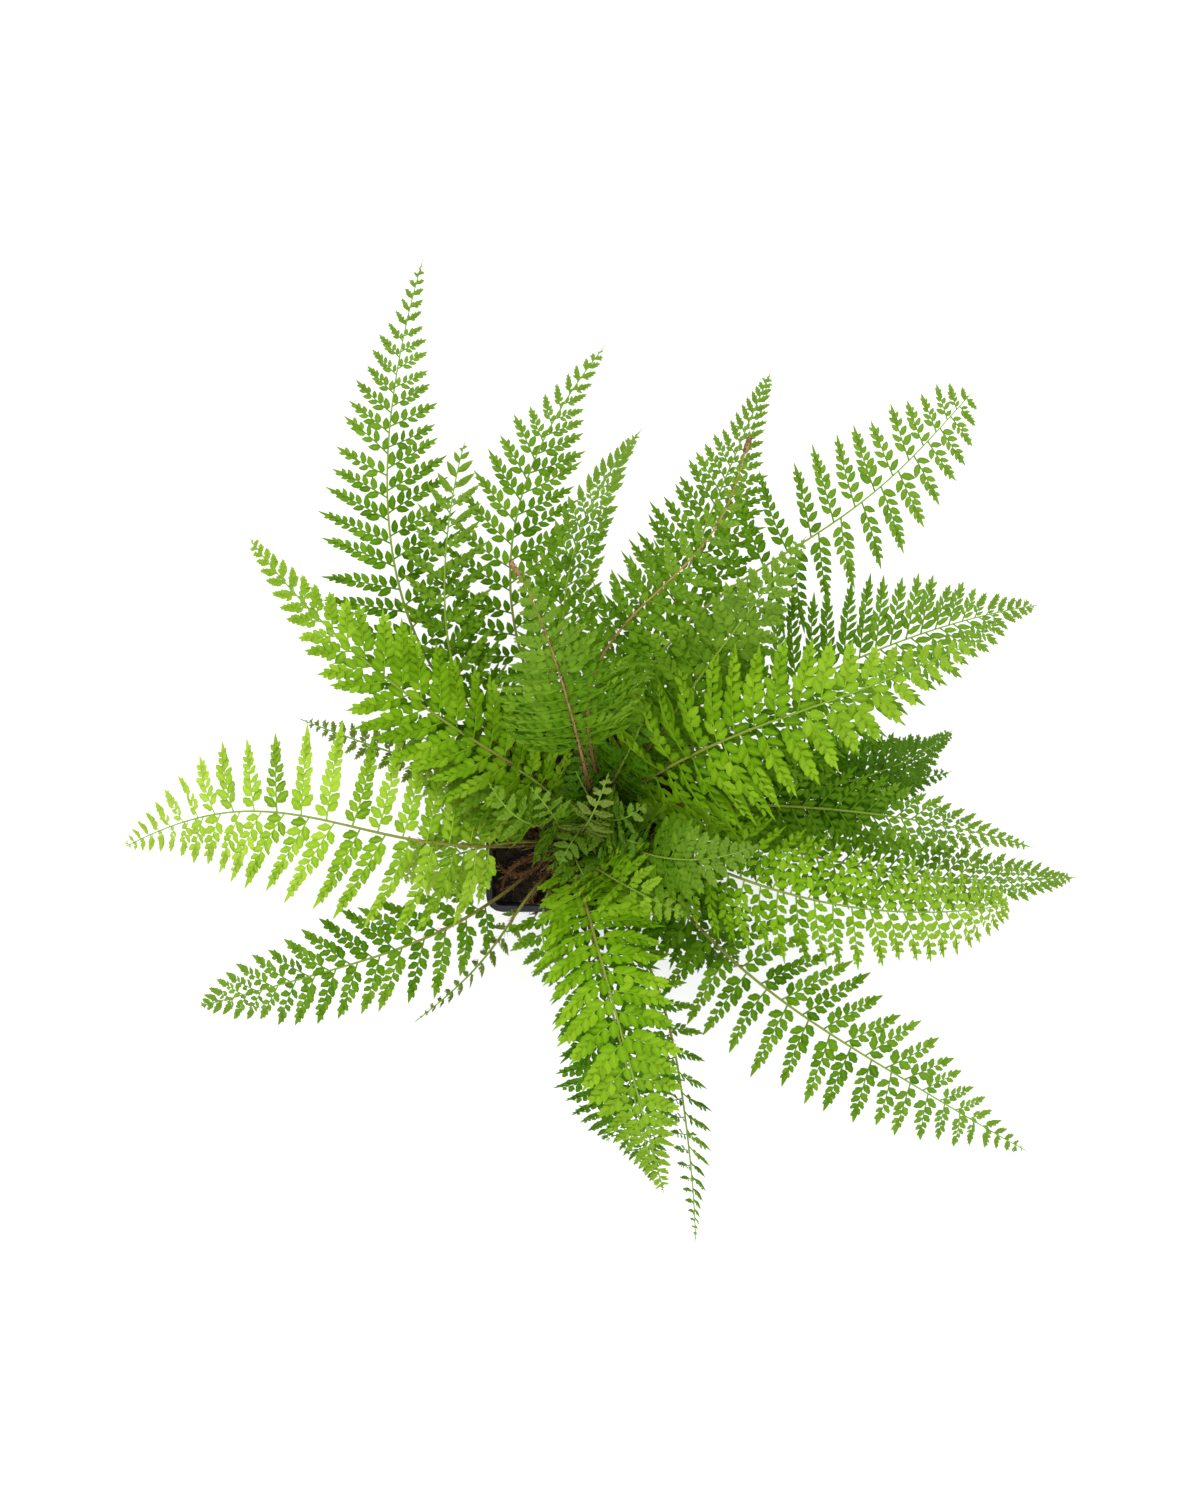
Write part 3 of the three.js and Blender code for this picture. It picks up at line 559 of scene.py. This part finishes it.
def solid_tree(name):
    """A search tree of a solid's corners, in millimetres."""
    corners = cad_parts[name].data.vertices
    tree = KDTree(len(corners))
    for i, corner in enumerate(corners):
        tree.insert(corner.co / MM, i)
    tree.balance()
    return tree


def add_leaflet(soup, rng, leaf, line, division):
    """One leaflet: its rib, lobes on both sides that shrink to its point, and the blade that they join."""
    length = np.linalg.norm(np.diff(line, axis=0), axis=1).sum()
    n = len(line)
    tangent = unit(np.gradient(line, axis=0))
    normal = unit(leaf.up - tangent * (tangent @ leaf.up)[:, None])
    normal = turned(normal, tangent, np.full(n, math.radians(rng.normal(0, ROLL_SPREAD))))
    ahead = np.sign(np.dot(np.cross(normal[0], tangent[0]), leaf.along))
    scale = LEAST_SIZE + (1 - LEAST_SIZE) * smoothstep(length, *SIZE_LENGTHS)
    brightness = 0.5 + rng.normal(0, 0.09)

    def at(s):
        x = np.clip(s / length, 0, 1) * (n - 1)
        i = np.minimum(x.astype(int), n - 2)
        f = (x - i)[:, None]
        place, axis, face = [a[i] * (1 - f) + a[i + 1] * f for a in (line, tangent, normal)]
        return place, unit(axis), unit(face)

    # the leaflet's own rib
    s = np.linspace(0, length * RIB_END, 6)
    place, axis, face = at(s)
    thin = np.linspace(*LEAF_RIB_WIDTHS, len(s)) * (0.5 + 0.5 * scale)
    shades = np.tile([brightness, leaf.share, 1.0], (len(s), 1))
    add_tube(soup, place, np.cross(axis, face), face, thin, thin, shades, sides=4, slot=LEAF)

    # lobes: those at the front stand out from the rib, and those at the back lie closer to it
    first = LOBE_START * scale
    room = max(length * LOBES_END - first, 0)
    count = int(room / (LOBE_STEP * division["step"] * scale * (1 - STEP_FALL / 2)) + 0.5)
    k = np.concatenate([np.arange(count), np.arange(count) + BACK_STEP]) / max(count, 1)
    s = first + room * (k - STEP_FALL / 2 * k ** 2) / (1 - STEP_FALL / 2)
    front = np.concatenate([np.ones(count), -np.ones(count)])
    place, axis, face = at(s)
    near = np.clip(s / length, 0, 1)
    lean = np.where(front > 0, division["front"], division["back"])
    lean = np.radians(lean + (TIP_LEAN - lean) * near + rng.normal(0, LEAN_SPREAD, 2 * count))
    out = np.cross(face, axis) * (ahead * front)[:, None]
    direction = axis * np.cos(lean)[:, None] + out * np.sin(lean)[:, None]
    size = division["lobe"] * scale * (ROOT_SIZE - SIZE_FALL * near ** 1.6)
    size = size * rng.uniform(0.9, 1.08, 2 * count)
    dip = np.radians(rng.normal(DIP, TILT_SPREAD, 2 * count))
    direction = unit(direction + face * np.tan(dip)[:, None])
    face = unit(face - direction * (direction * face).sum(1, keepdims=True))
    fold = np.radians(rng.normal(FOLD, TILT_SPREAD, 2 * count))
    face = turned(face, direction, fold * ahead * front)
    # painted shade and highlight: each lobe is darker at the leaflet's root and lighter towards its point, on
    # top of the leaflet's own random tone
    shade = brightness - 0.1 + 0.3 * near + rng.normal(0, 0.1, 2 * count)
    tints = np.stack([shade, np.full(2 * count, leaf.share), np.zeros(2 * count)], axis=1)
    add_leaves(soup, LOBES[division["shape"]], place, direction, face, ahead * front, size,
               division["width"] * rng.uniform(0.92, 1.08, 2 * count), rng.uniform(0, 0.12, 2 * count),
               rng.uniform(0, 0.18, 2 * count), tints)

    # the blade at its end
    short, long = BLADE_LENGTHS
    share = division["end"] + (ALL_BLADE - division["end"]) * smoothstep(long - length, 0, long - short)
    place, _, face = at(np.array([length * (1 - share)]))
    goal = unit(line[-1] - place[0])
    face = unit(face - goal * (face @ goal)[:, None])
    width = min(division["end_width"] / (length * share), WIDEST_BLADE)
    # the blade is painted lighter than the leaflet's own tone, a painted highlight at its point
    tints = np.array([[brightness + 0.1, leaf.share, 0.0]])
    add_leaves(soup, BLADE, place, goal[None], face, np.ones(1), np.array([length * share]),
               np.array([width]), np.array([0.08]), np.array([0.0]), tints)


def add_scales(soup, rng, kind, axes, radius):
    """Papery scales that stand out from round stalks, one at each place."""
    place, along, right, up = axes
    count = len(place)
    turn = rng.uniform(0, 2 * math.pi, count)
    out = right * np.cos(turn)[:, None] + up * np.sin(turn)[:, None]
    lean = rng.uniform(0.25, 0.9, count)[:, None]
    direction = unit(along + out * lean + rng.normal(0, 0.2, (count, 3)))
    side = unit(np.cross(direction, out))
    length = rng.uniform(*SCALES[kind][1], count)[:, None]
    width = length * rng.uniform(0.16, 0.3, count)[:, None]
    root = place + out * radius[:, None]
    ridge = root + direction * length * 0.45 + unit(np.cross(side, direction)) * 0.12
    corners = [root - side * width / 2, root + side * width / 2, root + direction * length, ridge]
    shapes = np.stack(corners, axis=1)
    edges = shapes[:, 1:] - shapes[:, :1]
    volume = np.einsum("ij,ij->i", np.cross(edges[:, 0], edges[:, 1]), edges[:, 2])
    shades = np.stack([rng.uniform(0, 1, count), np.zeros(count), np.zeros(count)], axis=1)
    shades = np.repeat(shades[:, None], 4, axis=1)
    faces = np.array([(0, 2, 1), (0, 1, 3), (1, 2, 3), (2, 0, 3)])
    soup.add_either_way(shapes, [faces], SCALE, shades, volume > 0)


def add_stalk_scales(soup, rng, kind, rib, end):
    """Scales on a stalk up to a distance along it, denser at the foot."""
    s = SCALES_START + (end - SCALES_START) * rng.random(SCALES[kind][0]) ** 1.6
    add_scales(soup, rng, kind, rib.frames(s), rib_width(s / rib.length) * SCALE_ROOT)


def add_midrib(soup, rng, rib, row):
    """The stalk and midrib as one tube, which ends in a point or runs on into a curl wrapped in scales."""
    s = np.linspace(0, rib.length, RIB_POINTS)
    place, along, right, up = rib.frames(s)
    share = s / rib.length
    width = rib_width(share) * (RIB_SHARE - RIB_SHARE_FALL * share)
    half = np.full(len(s), 0.5)
    tint = np.stack([half, share, half], axis=1)
    if row["curled"]:
        turn = np.linspace(0, CURL_TURNS * 2 * math.pi, CURL_POINTS)[1:]
        part = turn / turn[-1]
        out = -up[-1] * np.cos(turn)[:, None] + along[-1] * np.sin(turn)[:, None]
        curl = place[-1] + up[-1] * CURL_RADIUS + out * (CURL_RADIUS * (1 - CURL_TIGHTENS * part))[:, None]
        heading = unit(np.gradient(curl, axis=0))
        sideways = np.repeat(right[-1:], len(turn), axis=0)
        place = np.concatenate([place, curl])
        right = np.concatenate([right, sideways])
        up = np.concatenate([up, -out])
        width = np.concatenate([width, CURL_WIDTHS[0] + (CURL_WIDTHS[1] - CURL_WIDTHS[0]) * part])
        tint = np.concatenate([tint, np.tile([0.5, 1.0, 0.5], (len(turn), 1))])
        k = rng.integers(0, len(turn), SCALES["curl"][0])
        add_scales(soup, rng, "curl", (curl[k], heading[k], sideways[k], out[k]), np.full(len(k), 0.5))
        add_stalk_scales(soup, rng, "curled stalk", rib, rib.length)
    else:
        width[-1] = RIB_POINT_WIDTH
    add_tube(soup, place, right, up, width, width * RIB_FLATNESS, tint)


def above_open_peat(line):
    """Whether a leaflet reaches over the corner of the peat that the leaves leave open."""
    (left, front), (right, back) = OPEN_PEAT
    inside = (line[:, 0] > left) & (line[:, 0] < right) & (line[:, 1] > front) & (line[:, 1] < back)
    return inside.any()


def build_frond(name, row, materials):
    """A frond as one piece, which stands for its solid where it has one."""
    rng = np.random.default_rng([SEED, row["number"]])
    rib = Rib(row)
    soup = Soup()
    add_midrib(soup, rng, rib, row)
    usual = SMALL_DIVISION if name in SMALL_NAMES else USUAL_DIVISION
    division = {**usual, **DIVISION.get(name, {})}
    nodes = [name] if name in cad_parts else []
    solid_shares, found = np.zeros(1), {-1: [(0, 1)], 1: [(0, 1)]}
    if nodes:
        solid_shares, found = solid_leaflets(name, row, rib)
    ends = rib.stations(row)
    reach = ends[-1] - ends[0]
    pairs = round(row["pairs"] * division["more"])
    x = (np.arange(pairs) + 0.5) / pairs
    shares = x * (1 + PAIR_FALL) - PAIR_FALL * x ** 4
    spacings = reach * (1 + PAIR_FALL - 4 * PAIR_FALL * x ** 3) / pairs
    t = np.linspace(0, 1, 9)
    for share, spacing, *axes in zip(shares, spacings, *rib.frames(ends[0] + shares * reach)):
        nearest = int(np.argmin(np.abs(solid_shares - share)))
        for side in (-1, 1):
            if found[side][nearest] is None:
                continue
            leaf = Leaflet(row, axes, share, spacing, side, rng.uniform(-1, 1, 2))
            leaf.length *= division["longer"]
            if share > 0.5:
                leaf.length = max(leaf.length, row["leaflet"] * (1 - share) ** TIP_TAPER)
            line = leaf.line(*found[side][nearest], t, rng.uniform(*BOWS))
            line = line + leaf.along * (SIDE_STEP * spacing * side)
            if not above_open_peat(line):
                add_leaflet(soup, rng, leaf, line, division)
    add_stalk_scales(soup, rng, "stalk", rib, rib.length * (row["bare"] + SCALES_PAST_BARE))
    return add_piece(name.replace("frond", "fern_frond"), soup, materials, "leaf_" + row["tone"], *nodes)


# The crowns and the peat

def ground_at(node, x, y):
    """Height of a solid's top at a place, in millimetres, or None beside it, found from 0.2 m up."""
    hit, place, _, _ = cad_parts[node].ray_cast(Vector((x * MM, y * MM, 0.2)), Vector((0, 0, -1)))
    return place.z / MM if hit else None


def on_ground(node, flat, lowest):
    """The places of a solid's top below points seen from above, and which of the points have one."""
    heights = [ground_at(node, x, y) for x, y in flat]
    keep = np.array([z is not None and z > lowest for z in heights])
    kept = [z for z, is_kept in zip(heights, keep) if is_kept]
    return np.hstack([flat[keep], np.array(kept)[:, None]]), keep


def add_crown_scales(soup, rng):
    """Scales all over both crowns, which point up and outward."""
    count = SCALES["crown"][0]
    for centre in CROWN_CENTRES:
        radius = CROWN_RADIUS * np.sqrt(rng.random(count))
        turn = rng.uniform(0, 2 * math.pi, count)
        heading = np.stack([np.cos(turn), np.sin(turn), np.zeros(count)], axis=1)
        flat = np.array(centre) + heading[:, :2] * radius[:, None]
        place, keep = on_ground("rootstock", flat, LOWEST_SCALE)
        out = heading[keep]
        along = unit(out + UP * rng.uniform(0.3, 1.5, len(out))[:, None])
        axes = (place - UP * 0.3, along, unit(np.cross(along, UP)), UP * np.ones_like(out))
        add_scales(soup, rng, "crown", axes, np.zeros(len(out)))


def add_stub(soup, rng, angle, reach, hook):
    """The scaly base of an old stalk, which leans out of the second crown and hooks to one side."""
    t = np.linspace(0, 1, STUB_POINTS)
    heading = angle + hook * t ** 2
    steps = np.stack([np.cos(heading), np.sin(heading), 0.9 - 1.5 * t], axis=1) * reach / len(t)
    outward = np.array([math.cos(angle), math.sin(angle), 0])
    start = np.array([*CROWN_CENTRES[1], STUB_Z]) + outward * STUB_RADIUS
    places = start + np.cumsum(steps, axis=0)
    along = unit(np.gradient(places, axis=0))
    right = unit(np.cross(along, UP))
    up = np.cross(right, along)
    width = STUB_WIDTHS[0] + (STUB_WIDTHS[1] - STUB_WIDTHS[0]) * t ** 2
    add_tube(soup, places, right, up, width, width, np.tile([0.5, 0.0, 0.5], (len(t), 1)))
    k = rng.integers(0, len(t), SCALES["stub"][0])
    add_scales(soup, rng, "stub", (places[k], along[k], right[k], up[k]), width[k] * SCALE_ROOT)


def build_crowns(materials):
    """The scales and stubs of both crowns, which lie on the rootstock's solid."""
    rng = np.random.default_rng([SEED, 101])
    soup = Soup()
    add_crown_scales(soup, rng)
    for angle in np.radians(np.linspace(*STUB_ANGLES, STUBS)):
        angle = angle + rng.normal(0, 0.1)
        add_stub(soup, rng, angle, rng.uniform(*STUB_REACH), rng.uniform(-STUB_HOOK, STUB_HOOK))
    return add_piece("crown_scales", soup, materials, "rootstock")


def build_crumbs(material):
    """Loose crumbs of peat on its surface, as dented octahedrons."""
    rng = np.random.default_rng([SEED, 102])
    soup = Soup()
    place, _ = on_ground("peat", rng.uniform(-PEAT_HALF, PEAT_HALF, (CRUMBS, 2)), LOWEST_CRUMB)
    k = len(place)
    size = rng.uniform(*CRUMB_SIZE, k) ** 1.2
    octahedron = np.array([(1, 0, 0), (0, 1, 0), (-1, 0, 0), (0, -1, 0), (0, 0, 1), (0, 0, -1)], float)
    shapes = octahedron[None] * rng.uniform(0.6, 1.3, (k, 6, 1)) * size[:, None, None]
    turn = rng.uniform(0, math.pi, k)
    cos, sin = np.cos(turn)[:, None], np.sin(turn)[:, None]
    x, y = shapes[:, :, 0] * cos - shapes[:, :, 1] * sin, shapes[:, :, 0] * sin + shapes[:, :, 1] * cos
    shapes = np.stack([x, y, shapes[:, :, 2] * 0.8], axis=2) + place[:, None]
    faces = [(0, 1, 4), (1, 2, 4), (2, 3, 4), (3, 0, 4), (1, 0, 5), (2, 1, 5), (3, 2, 5), (0, 3, 5)]
    shades = np.repeat(rng.uniform(0, 1, (k, 1, 3)), 6, axis=1)
    soup.add(shapes, [np.array(faces)], 0, shades)
    return add_piece("peat_crumbs", soup, [material], "peat")


# Materials. A noise's scale is how many of its waves there are in a metre.

LEAF_GRAIN = 900.0
LEAF_PATCHES = 45.0
LEAF_SPOTS = 120.0
STALK_STREAKS = 400.0
DEAD_BROWN = 0.1, 0.055, 0.02


def new_material(name):
    """An empty material and its node tree."""
    material = bpy.data.materials.new(name)
    material.use_nodes = True
    tree = material.node_tree
    tree.nodes.clear()
    return material, tree


def add_node(tree, kind, settings=(), **inputs):
    """A node with properties. Its inputs, by name or by number as i0 and so on, are values or sockets."""
    node = tree.nodes.new(kind)
    for key, value in dict(settings).items():
        setattr(node, key, value)
    for key, value in inputs.items():
        numbered = key[0] == "i" and key[1:].isdigit()
        socket = node.inputs[int(key[1:])] if numbered else node.inputs[key.replace("_", " ")]
        if isinstance(value, bpy.types.NodeSocket):
            tree.links.new(value, socket)
        else:
            socket.default_value = value
    return node


def ramp(tree, factor, stops):
    """A colour that runs through stops of position and colour."""
    node = add_node(tree, "ShaderNodeValToRGB", i0=factor)
    elements = node.color_ramp.elements
    while len(elements) < len(stops):
        elements.new(0.5)
    for element, (position, colour) in zip(elements, stops):
        element.position = position
        element.color = (*colour, 1)
    return node.outputs[0]


def math_node(tree, operation, a, b=0.0):
    return add_node(tree, "ShaderNodeMath", {"operation": operation}, i0=a, i1=b).outputs[0]


def swing(tree, value, amount):
    """A noise's value, from -amount / 2 to amount / 2."""
    return math_node(tree, "MULTIPLY", math_node(tree, "SUBTRACT", value, 0.5), amount)


def mix_colour(tree, factor, a, b):
    node = add_node(tree, "ShaderNodeMix", {"data_type": "RGBA"}, i0=factor, i6=a, i7=b)
    return node.outputs[2]


def noise(tree, coords, scale, detail=3.0):
    return add_node(tree, "ShaderNodeTexNoise", Vector=coords, Scale=scale, Detail=detail).outputs[0]


def tint_parts(tree):
    """The three numbers that each shape's corners carry: its shade, its place on the frond, its middle."""
    tint = add_node(tree, "ShaderNodeVertexColor", {"layer_name": "tint"})
    return add_node(tree, "ShaderNodeSeparateColor", i0=tint.outputs[0]).outputs


def leaf_material(name, deep, middle, bright, tip, glow, through=0.42, browning=0.0):
    """Leaf green that varies from lobe to lobe, paler at the frond's tip, and lets light through."""
    material, tree = new_material(name)
    shade, place, core = tint_parts(tree)
    coords = add_node(tree, "ShaderNodeTexCoord").outputs["Object"]
    fine = noise(tree, coords, LEAF_GRAIN, 2.0)
    level = math_node(tree, "ADD", shade, swing(tree, noise(tree, coords, LEAF_PATCHES), 0.9))
    level = math_node(tree, "ADD", level, swing(tree, fine, 0.25))
    green = ramp(tree, level, [(0.15, deep), (0.5, middle), (0.85, bright)])
    towards_tip = add_node(tree, "ShaderNodeMapRange", {"interpolation_type": "SMOOTHSTEP"},
                           Value=place, From_Min=0.45, From_Max=0.95, To_Max=0.7).outputs[0]
    green = mix_colour(tree, towards_tip, green, (*tip, 1))
    vein = math_node(tree, "MULTIPLY", math_node(tree, "POWER", core, 3.0), 0.3)
    green = mix_colour(tree, vein, green, (*[min(1, c * 1.35) for c in bright], 1))
    if browning:
        spots = noise(tree, coords, LEAF_SPOTS, 4.0)
        amount = math_node(tree, "ADD", spots, math_node(tree, "MULTIPLY", place, 0.35))
        brown = add_node(tree, "ShaderNodeMapRange", Value=amount, From_Min=0.95 - browning,
                         From_Max=1.1 - browning * 0.8).outputs[0]
        green = mix_colour(tree, brown, green, (*DEAD_BROWN, 1))
    bump = add_node(tree, "ShaderNodeBump", Height=fine, Strength=0.25, Distance=0.0003).outputs[0]
    surface = add_node(tree, "ShaderNodeBsdfPrincipled", Base_Color=green, Roughness=0.5, Normal=bump)
    surface.inputs["Specular IOR Level"].default_value = 0.04
    light = add_node(tree, "ShaderNodeBsdfTranslucent", Color=mix_colour(tree, 0.55, green, (*glow, 1)))
    mixed = add_node(tree, "ShaderNodeMixShader", i0=through, i1=surface.outputs[0], i2=light.outputs[0])
    add_node(tree, "ShaderNodeOutputMaterial", Surface=mixed.outputs[0])
    return material


def stalk_material(name, foot, middle, tip):
    """Midribs and leaflet ribs: brown at the foot and green further out, with fine streaks."""
    material, tree = new_material(name)
    place = tint_parts(tree)[1]
    coords = add_node(tree, "ShaderNodeTexCoord").outputs["Object"]
    streaks = noise(tree, coords, STALK_STREAKS)
    colour = ramp(tree, math_node(tree, "ADD", place, swing(tree, streaks, 0.2)),
                  [(0.05, foot), (0.25, middle), (0.8, tip)])
    bump = add_node(tree, "ShaderNodeBump", Height=streaks, Strength=0.3, Distance=0.0002).outputs[0]
    surface = add_node(tree, "ShaderNodeBsdfPrincipled", Base_Color=colour, Roughness=0.6, Normal=bump)
    surface.inputs["Specular IOR Level"].default_value = 0.1
    add_node(tree, "ShaderNodeOutputMaterial", Surface=surface.outputs[0])
    return material


def shaded_material(name, stops, scale, roughness, swing_by=1.0):
    """A matt material whose colour follows each shape's own shade and a fine noise."""
    material, tree = new_material(name)
    shade = tint_parts(tree)[0]
    coords = add_node(tree, "ShaderNodeTexCoord").outputs["Object"]
    level = math_node(tree, "ADD", shade, swing(tree, noise(tree, coords, scale), swing_by))
    surface = add_node(tree, "ShaderNodeBsdfPrincipled", Base_Color=ramp(tree, level, stops),
                       Roughness=roughness)
    add_node(tree, "ShaderNodeOutputMaterial", Surface=surface.outputs[0])
    return material


def plain_material(name, stops, scale, roughness, bump_distance):
    """A matt material whose colour and height follow one noise."""
    material, tree = new_material(name)
    coords = add_node(tree, "ShaderNodeTexCoord").outputs["Object"]
    mottle = noise(tree, coords, scale, 6.0)
    bump = add_node(tree, "ShaderNodeBump", Height=mottle, Strength=0.5, Distance=bump_distance).outputs[0]
    surface = add_node(tree, "ShaderNodeBsdfPrincipled", Base_Color=ramp(tree, mottle, stops),
                       Roughness=roughness, Normal=bump)
    add_node(tree, "ShaderNodeOutputMaterial", Surface=surface.outputs[0])
    return material


leaves = {
    # pale: the young green made paler, painted light for fronds lit from below through their leaves
    "pale": leaf_material(
        "leaf_pale_painted_light", deep=(0.13, 0.27, 0.008), middle=(0.27, 0.46, 0.02), bright=(0.42, 0.6, 0.06),
        tip=(0.48, 0.62, 0.1), glow=(0.5, 0.7, 0.04)),
    "young": leaf_material(
        "leaf_young", deep=(0.075, 0.2, 0.002), middle=(0.16, 0.34, 0.004), bright=(0.29, 0.49, 0.02),
        tip=(0.34, 0.5, 0.05), glow=(0.45, 0.66, 0.02)),
    "mature": leaf_material(
        "leaf_mature", deep=(0.04, 0.132, 0.001), middle=(0.1, 0.235, 0.004), bright=(0.2, 0.36, 0.022),
        tip=(0.23, 0.37, 0.05), glow=(0.35, 0.56, 0.012)),
    "shaded": leaf_material(
        "leaf_shaded", deep=(0.026, 0.095, 0.001), middle=(0.055, 0.16, 0.002), bright=(0.1, 0.24, 0.008),
        tip=(0.11, 0.23, 0.02), glow=(0.22, 0.42, 0.008), through=0.3),
    "ageing": leaf_material(
        "leaf_ageing", deep=(0.07, 0.12, 0.01), middle=(0.13, 0.2, 0.02), bright=(0.22, 0.3, 0.045),
        tip=(0.24, 0.31, 0.07), glow=(0.34, 0.46, 0.06), through=0.3, browning=0.12),
}
green_stalk = stalk_material(
    "stalk_green", foot=(0.1, 0.055, 0.015), middle=(0.19, 0.19, 0.03), tip=(0.17, 0.3, 0.03))
brown_stalk = stalk_material(
    "stalk_brown", foot=(0.12, 0.06, 0.02), middle=(0.24, 0.15, 0.045), tip=(0.32, 0.2, 0.06))
root_stalk = stalk_material(
    "stalk_root", foot=(0.11, 0.045, 0.018), middle=(0.13, 0.055, 0.022), tip=(0.2, 0.1, 0.04))
scales = shaded_material(
    "fern_scales", [(0.1, (0.06, 0.026, 0.008)), (0.5, (0.2, 0.1, 0.032)), (0.95, (0.4, 0.25, 0.09))],
    scale=300.0, roughness=0.65)
crumbs = shaded_material(
    "peat_crumbs", [(0.2, (0.006, 0.004, 0.002)), (0.7, (0.03, 0.017, 0.01)), (0.98, (0.09, 0.055, 0.03))],
    scale=500.0, roughness=0.95, swing_by=0.5)

for number, (name, (*values, unlike)) in enumerate({**FRONDS, **SMALL_FRONDS}.items(), 1):
    row = {**USUAL, "number": number, **dict(zip(COLUMNS, values)), **unlike}
    leaf = leaves[LOOKS.get(name, row["tone"])]
    stalk = brown_stalk if row["curled"] else green_stalk
    build_frond(name, row, [leaf, stalk, scales])
build_crowns([leaves["ageing"], root_stalk, scales])
build_crumbs(crumbs)

plain = {
    "pot": plain_material(
        "pot_black", [(0.3, (0.006, 0.007, 0.01)), (0.7, (0.012, 0.014, 0.02))],
        scale=250.0, roughness=0.5, bump_distance=0.0001),
    "peat": plain_material(
        "peat_brown", [(0.35, (0.008, 0.005, 0.003)), (0.6, (0.03, 0.016, 0.009))],
        scale=260.0, roughness=0.95, bump_distance=0.002),
    "rootstock": plain_material(
        "root_brown", [(0.3, (0.03, 0.013, 0.006)), (0.7, (0.12, 0.055, 0.022))],
        scale=400.0, roughness=0.8, bump_distance=0.001),
}
for node, material in plain.items():
    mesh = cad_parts[node].data
    mesh.materials.clear()
    mesh.materials.append(material)

# The floor, lights and camera, in metres and watts

FLOOR_SIZE = 12
FLOOR_DROP = 0.0005
FLOOR_WHITE = 0.95, 0.95, 0.95
WORLD_STRENGTH = 1.3
LIGHT_AIM = 0, 0, 0.15
CAMERA_PLACE = 0.0043, 0.0251, 1.4
CAMERA_LENS = 72.1
CAMERA_SENSOR = 36

bpy.ops.mesh.primitive_plane_add(size=FLOOR_SIZE, location=(0, 0, -FLOOR_DROP))
floor = bpy.context.object
floor.name = "floor"
floor_white, tree = new_material("floor_white")
surface = add_node(tree, "ShaderNodeBsdfPrincipled", Base_Color=(*FLOOR_WHITE, 1), Roughness=1.0)
add_node(tree, "ShaderNodeOutputMaterial", Surface=surface.outputs[0])
floor.data.materials.append(floor_white)

world = bpy.data.worlds.new("studio")
bpy.context.scene.world = world
world.use_nodes = True
background = world.node_tree.nodes["Background"]
background.inputs["Color"].default_value = (1, 1, 1, 1)
background.inputs["Strength"].default_value = WORLD_STRENGTH


def add_area(name, place, size, power):
    """A round soft light that points at the plant."""
    data = bpy.data.lights.new(name, "AREA")
    data.shape = "DISK"
    data.size = size
    data.energy = power
    light = bpy.data.objects.new(name, data)
    bpy.context.scene.collection.objects.link(light)
    light.location = place
    light.rotation_euler = (Vector(LIGHT_AIM) - Vector(place)).to_track_quat("-Z", "Y").to_euler()


add_area("key", place=(-0.9, 1.2, 2.2), size=2.2, power=30)
add_area("fill", place=(1.4, -0.9, 1.9), size=2.2, power=14)

camera_data = bpy.data.cameras.new("camera")
camera_data.sensor_fit = "AUTO"
camera_data.sensor_width = CAMERA_SENSOR
camera_data.lens = CAMERA_LENS
camera = bpy.data.objects.new("camera", camera_data)
bpy.context.scene.collection.objects.link(camera)
camera.location = CAMERA_PLACE
camera.rotation_euler = (0, 0, 0)
bpy.context.scene.camera = camera
bpy.context.scene.view_settings.view_transform = "Standard"
